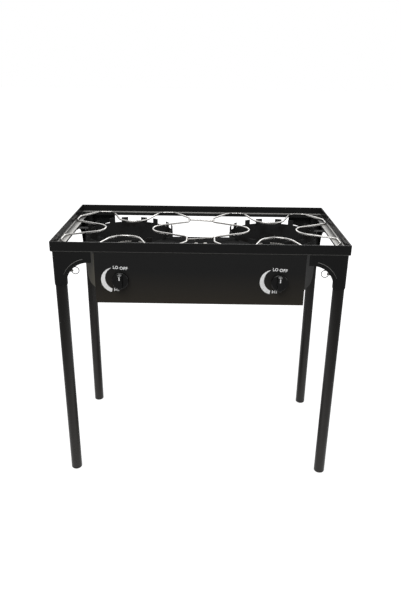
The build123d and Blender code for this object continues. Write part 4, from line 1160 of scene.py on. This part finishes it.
class STOVE_OT_valve_screws(bpy.types.Operator):
    """Puts cross-recessed screws beside each knob"""

    bl_idname = "stove.valve_screws"
    bl_label = "Valve screws"

    def execute(self, context):
        add_valve_screws(context.scene.stove_hardware)
        return {"FINISHED"}


class STOVE_OT_fittings(bpy.types.Operator):
    """Threads the gas inlet and adds the union nuts"""

    bl_idname = "stove.fittings"
    bl_label = "Gas fittings"

    def execute(self, context):
        add_fittings(context.scene.stove_hardware)
        return {"FINISHED"}


class STOVE_OT_split_rings(bpy.types.Operator):
    """Winds the pull rings"""

    bl_idname = "stove.split_rings"
    bl_label = "Pull rings"

    def execute(self, context):
        add_split_rings(context.scene.stove_hardware)
        return {"FINISHED"}


class STOVE_OT_welds(bpy.types.Operator):
    """Lays the weld beads"""

    bl_idname = "stove.welds"
    bl_label = "Welds"

    def execute(self, context):
        add_welds(context.scene.stove_hardware)
        return {"FINISHED"}


class STOVE_OT_stage(bpy.types.Operator):
    """Sets up the floor, the lights and the camera"""

    bl_idname = "stove.stage"
    bl_label = "Stage"

    def execute(self, context):
        add_stage(context.scene.stove_stage)
        return {"FINISHED"}


OPERATORS = (
    STOVE_OT_finishes,
    STOVE_OT_dials,
    STOVE_OT_pointers,
    STOVE_OT_bolts,
    STOVE_OT_valve_screws,
    STOVE_OT_fittings,
    STOVE_OT_split_rings,
    STOVE_OT_welds,
    STOVE_OT_stage,
)
GROUPS_OF_SETTINGS = {
    "stove_print": PrintSizes,
    "stove_hardware": HardwareSizes,
    "stove_colours": StoveColours,
    "stove_stage": StageSettings,
}


class STOVE_PT_sidebar(bpy.types.Panel):
    bl_label = "Gas stove"
    bl_idname = "STOVE_PT_sidebar"
    bl_space_type = "VIEW_3D"
    bl_region_type = "UI"
    bl_category = "Stove"

    def draw(self, context):
        column = self.layout.column()
        for operator in OPERATORS:
            column.operator(operator.bl_idname)
        for name, kind in GROUPS_OF_SETTINGS.items():
            box = self.layout.box()
            for setting in kind.__annotations__:
                box.prop(getattr(context.scene, name), setting)


CLASSES = (*GROUPS_OF_SETTINGS.values(), *OPERATORS, STOVE_PT_sidebar)


def register():
    for cls in CLASSES:
        bpy.utils.register_class(cls)
    for name, kind in GROUPS_OF_SETTINGS.items():
        setattr(bpy.types.Scene, name, PointerProperty(type=kind))


def unregister():
    for name in GROUPS_OF_SETTINGS:
        delattr(bpy.types.Scene, name)
    for cls in reversed(CLASSES):
        bpy.utils.unregister_class(cls)


def main():
    register()
    for operator in OPERATORS:
        getattr(bpy.ops.stove, operator.bl_idname.split(".")[1])()
    boxes = {"cad": CAD_BOX, "visual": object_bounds()}
    {name: [list(corner) for corner in box] for name, box in boxes.items()}


if __name__ == "__main__":
    main()
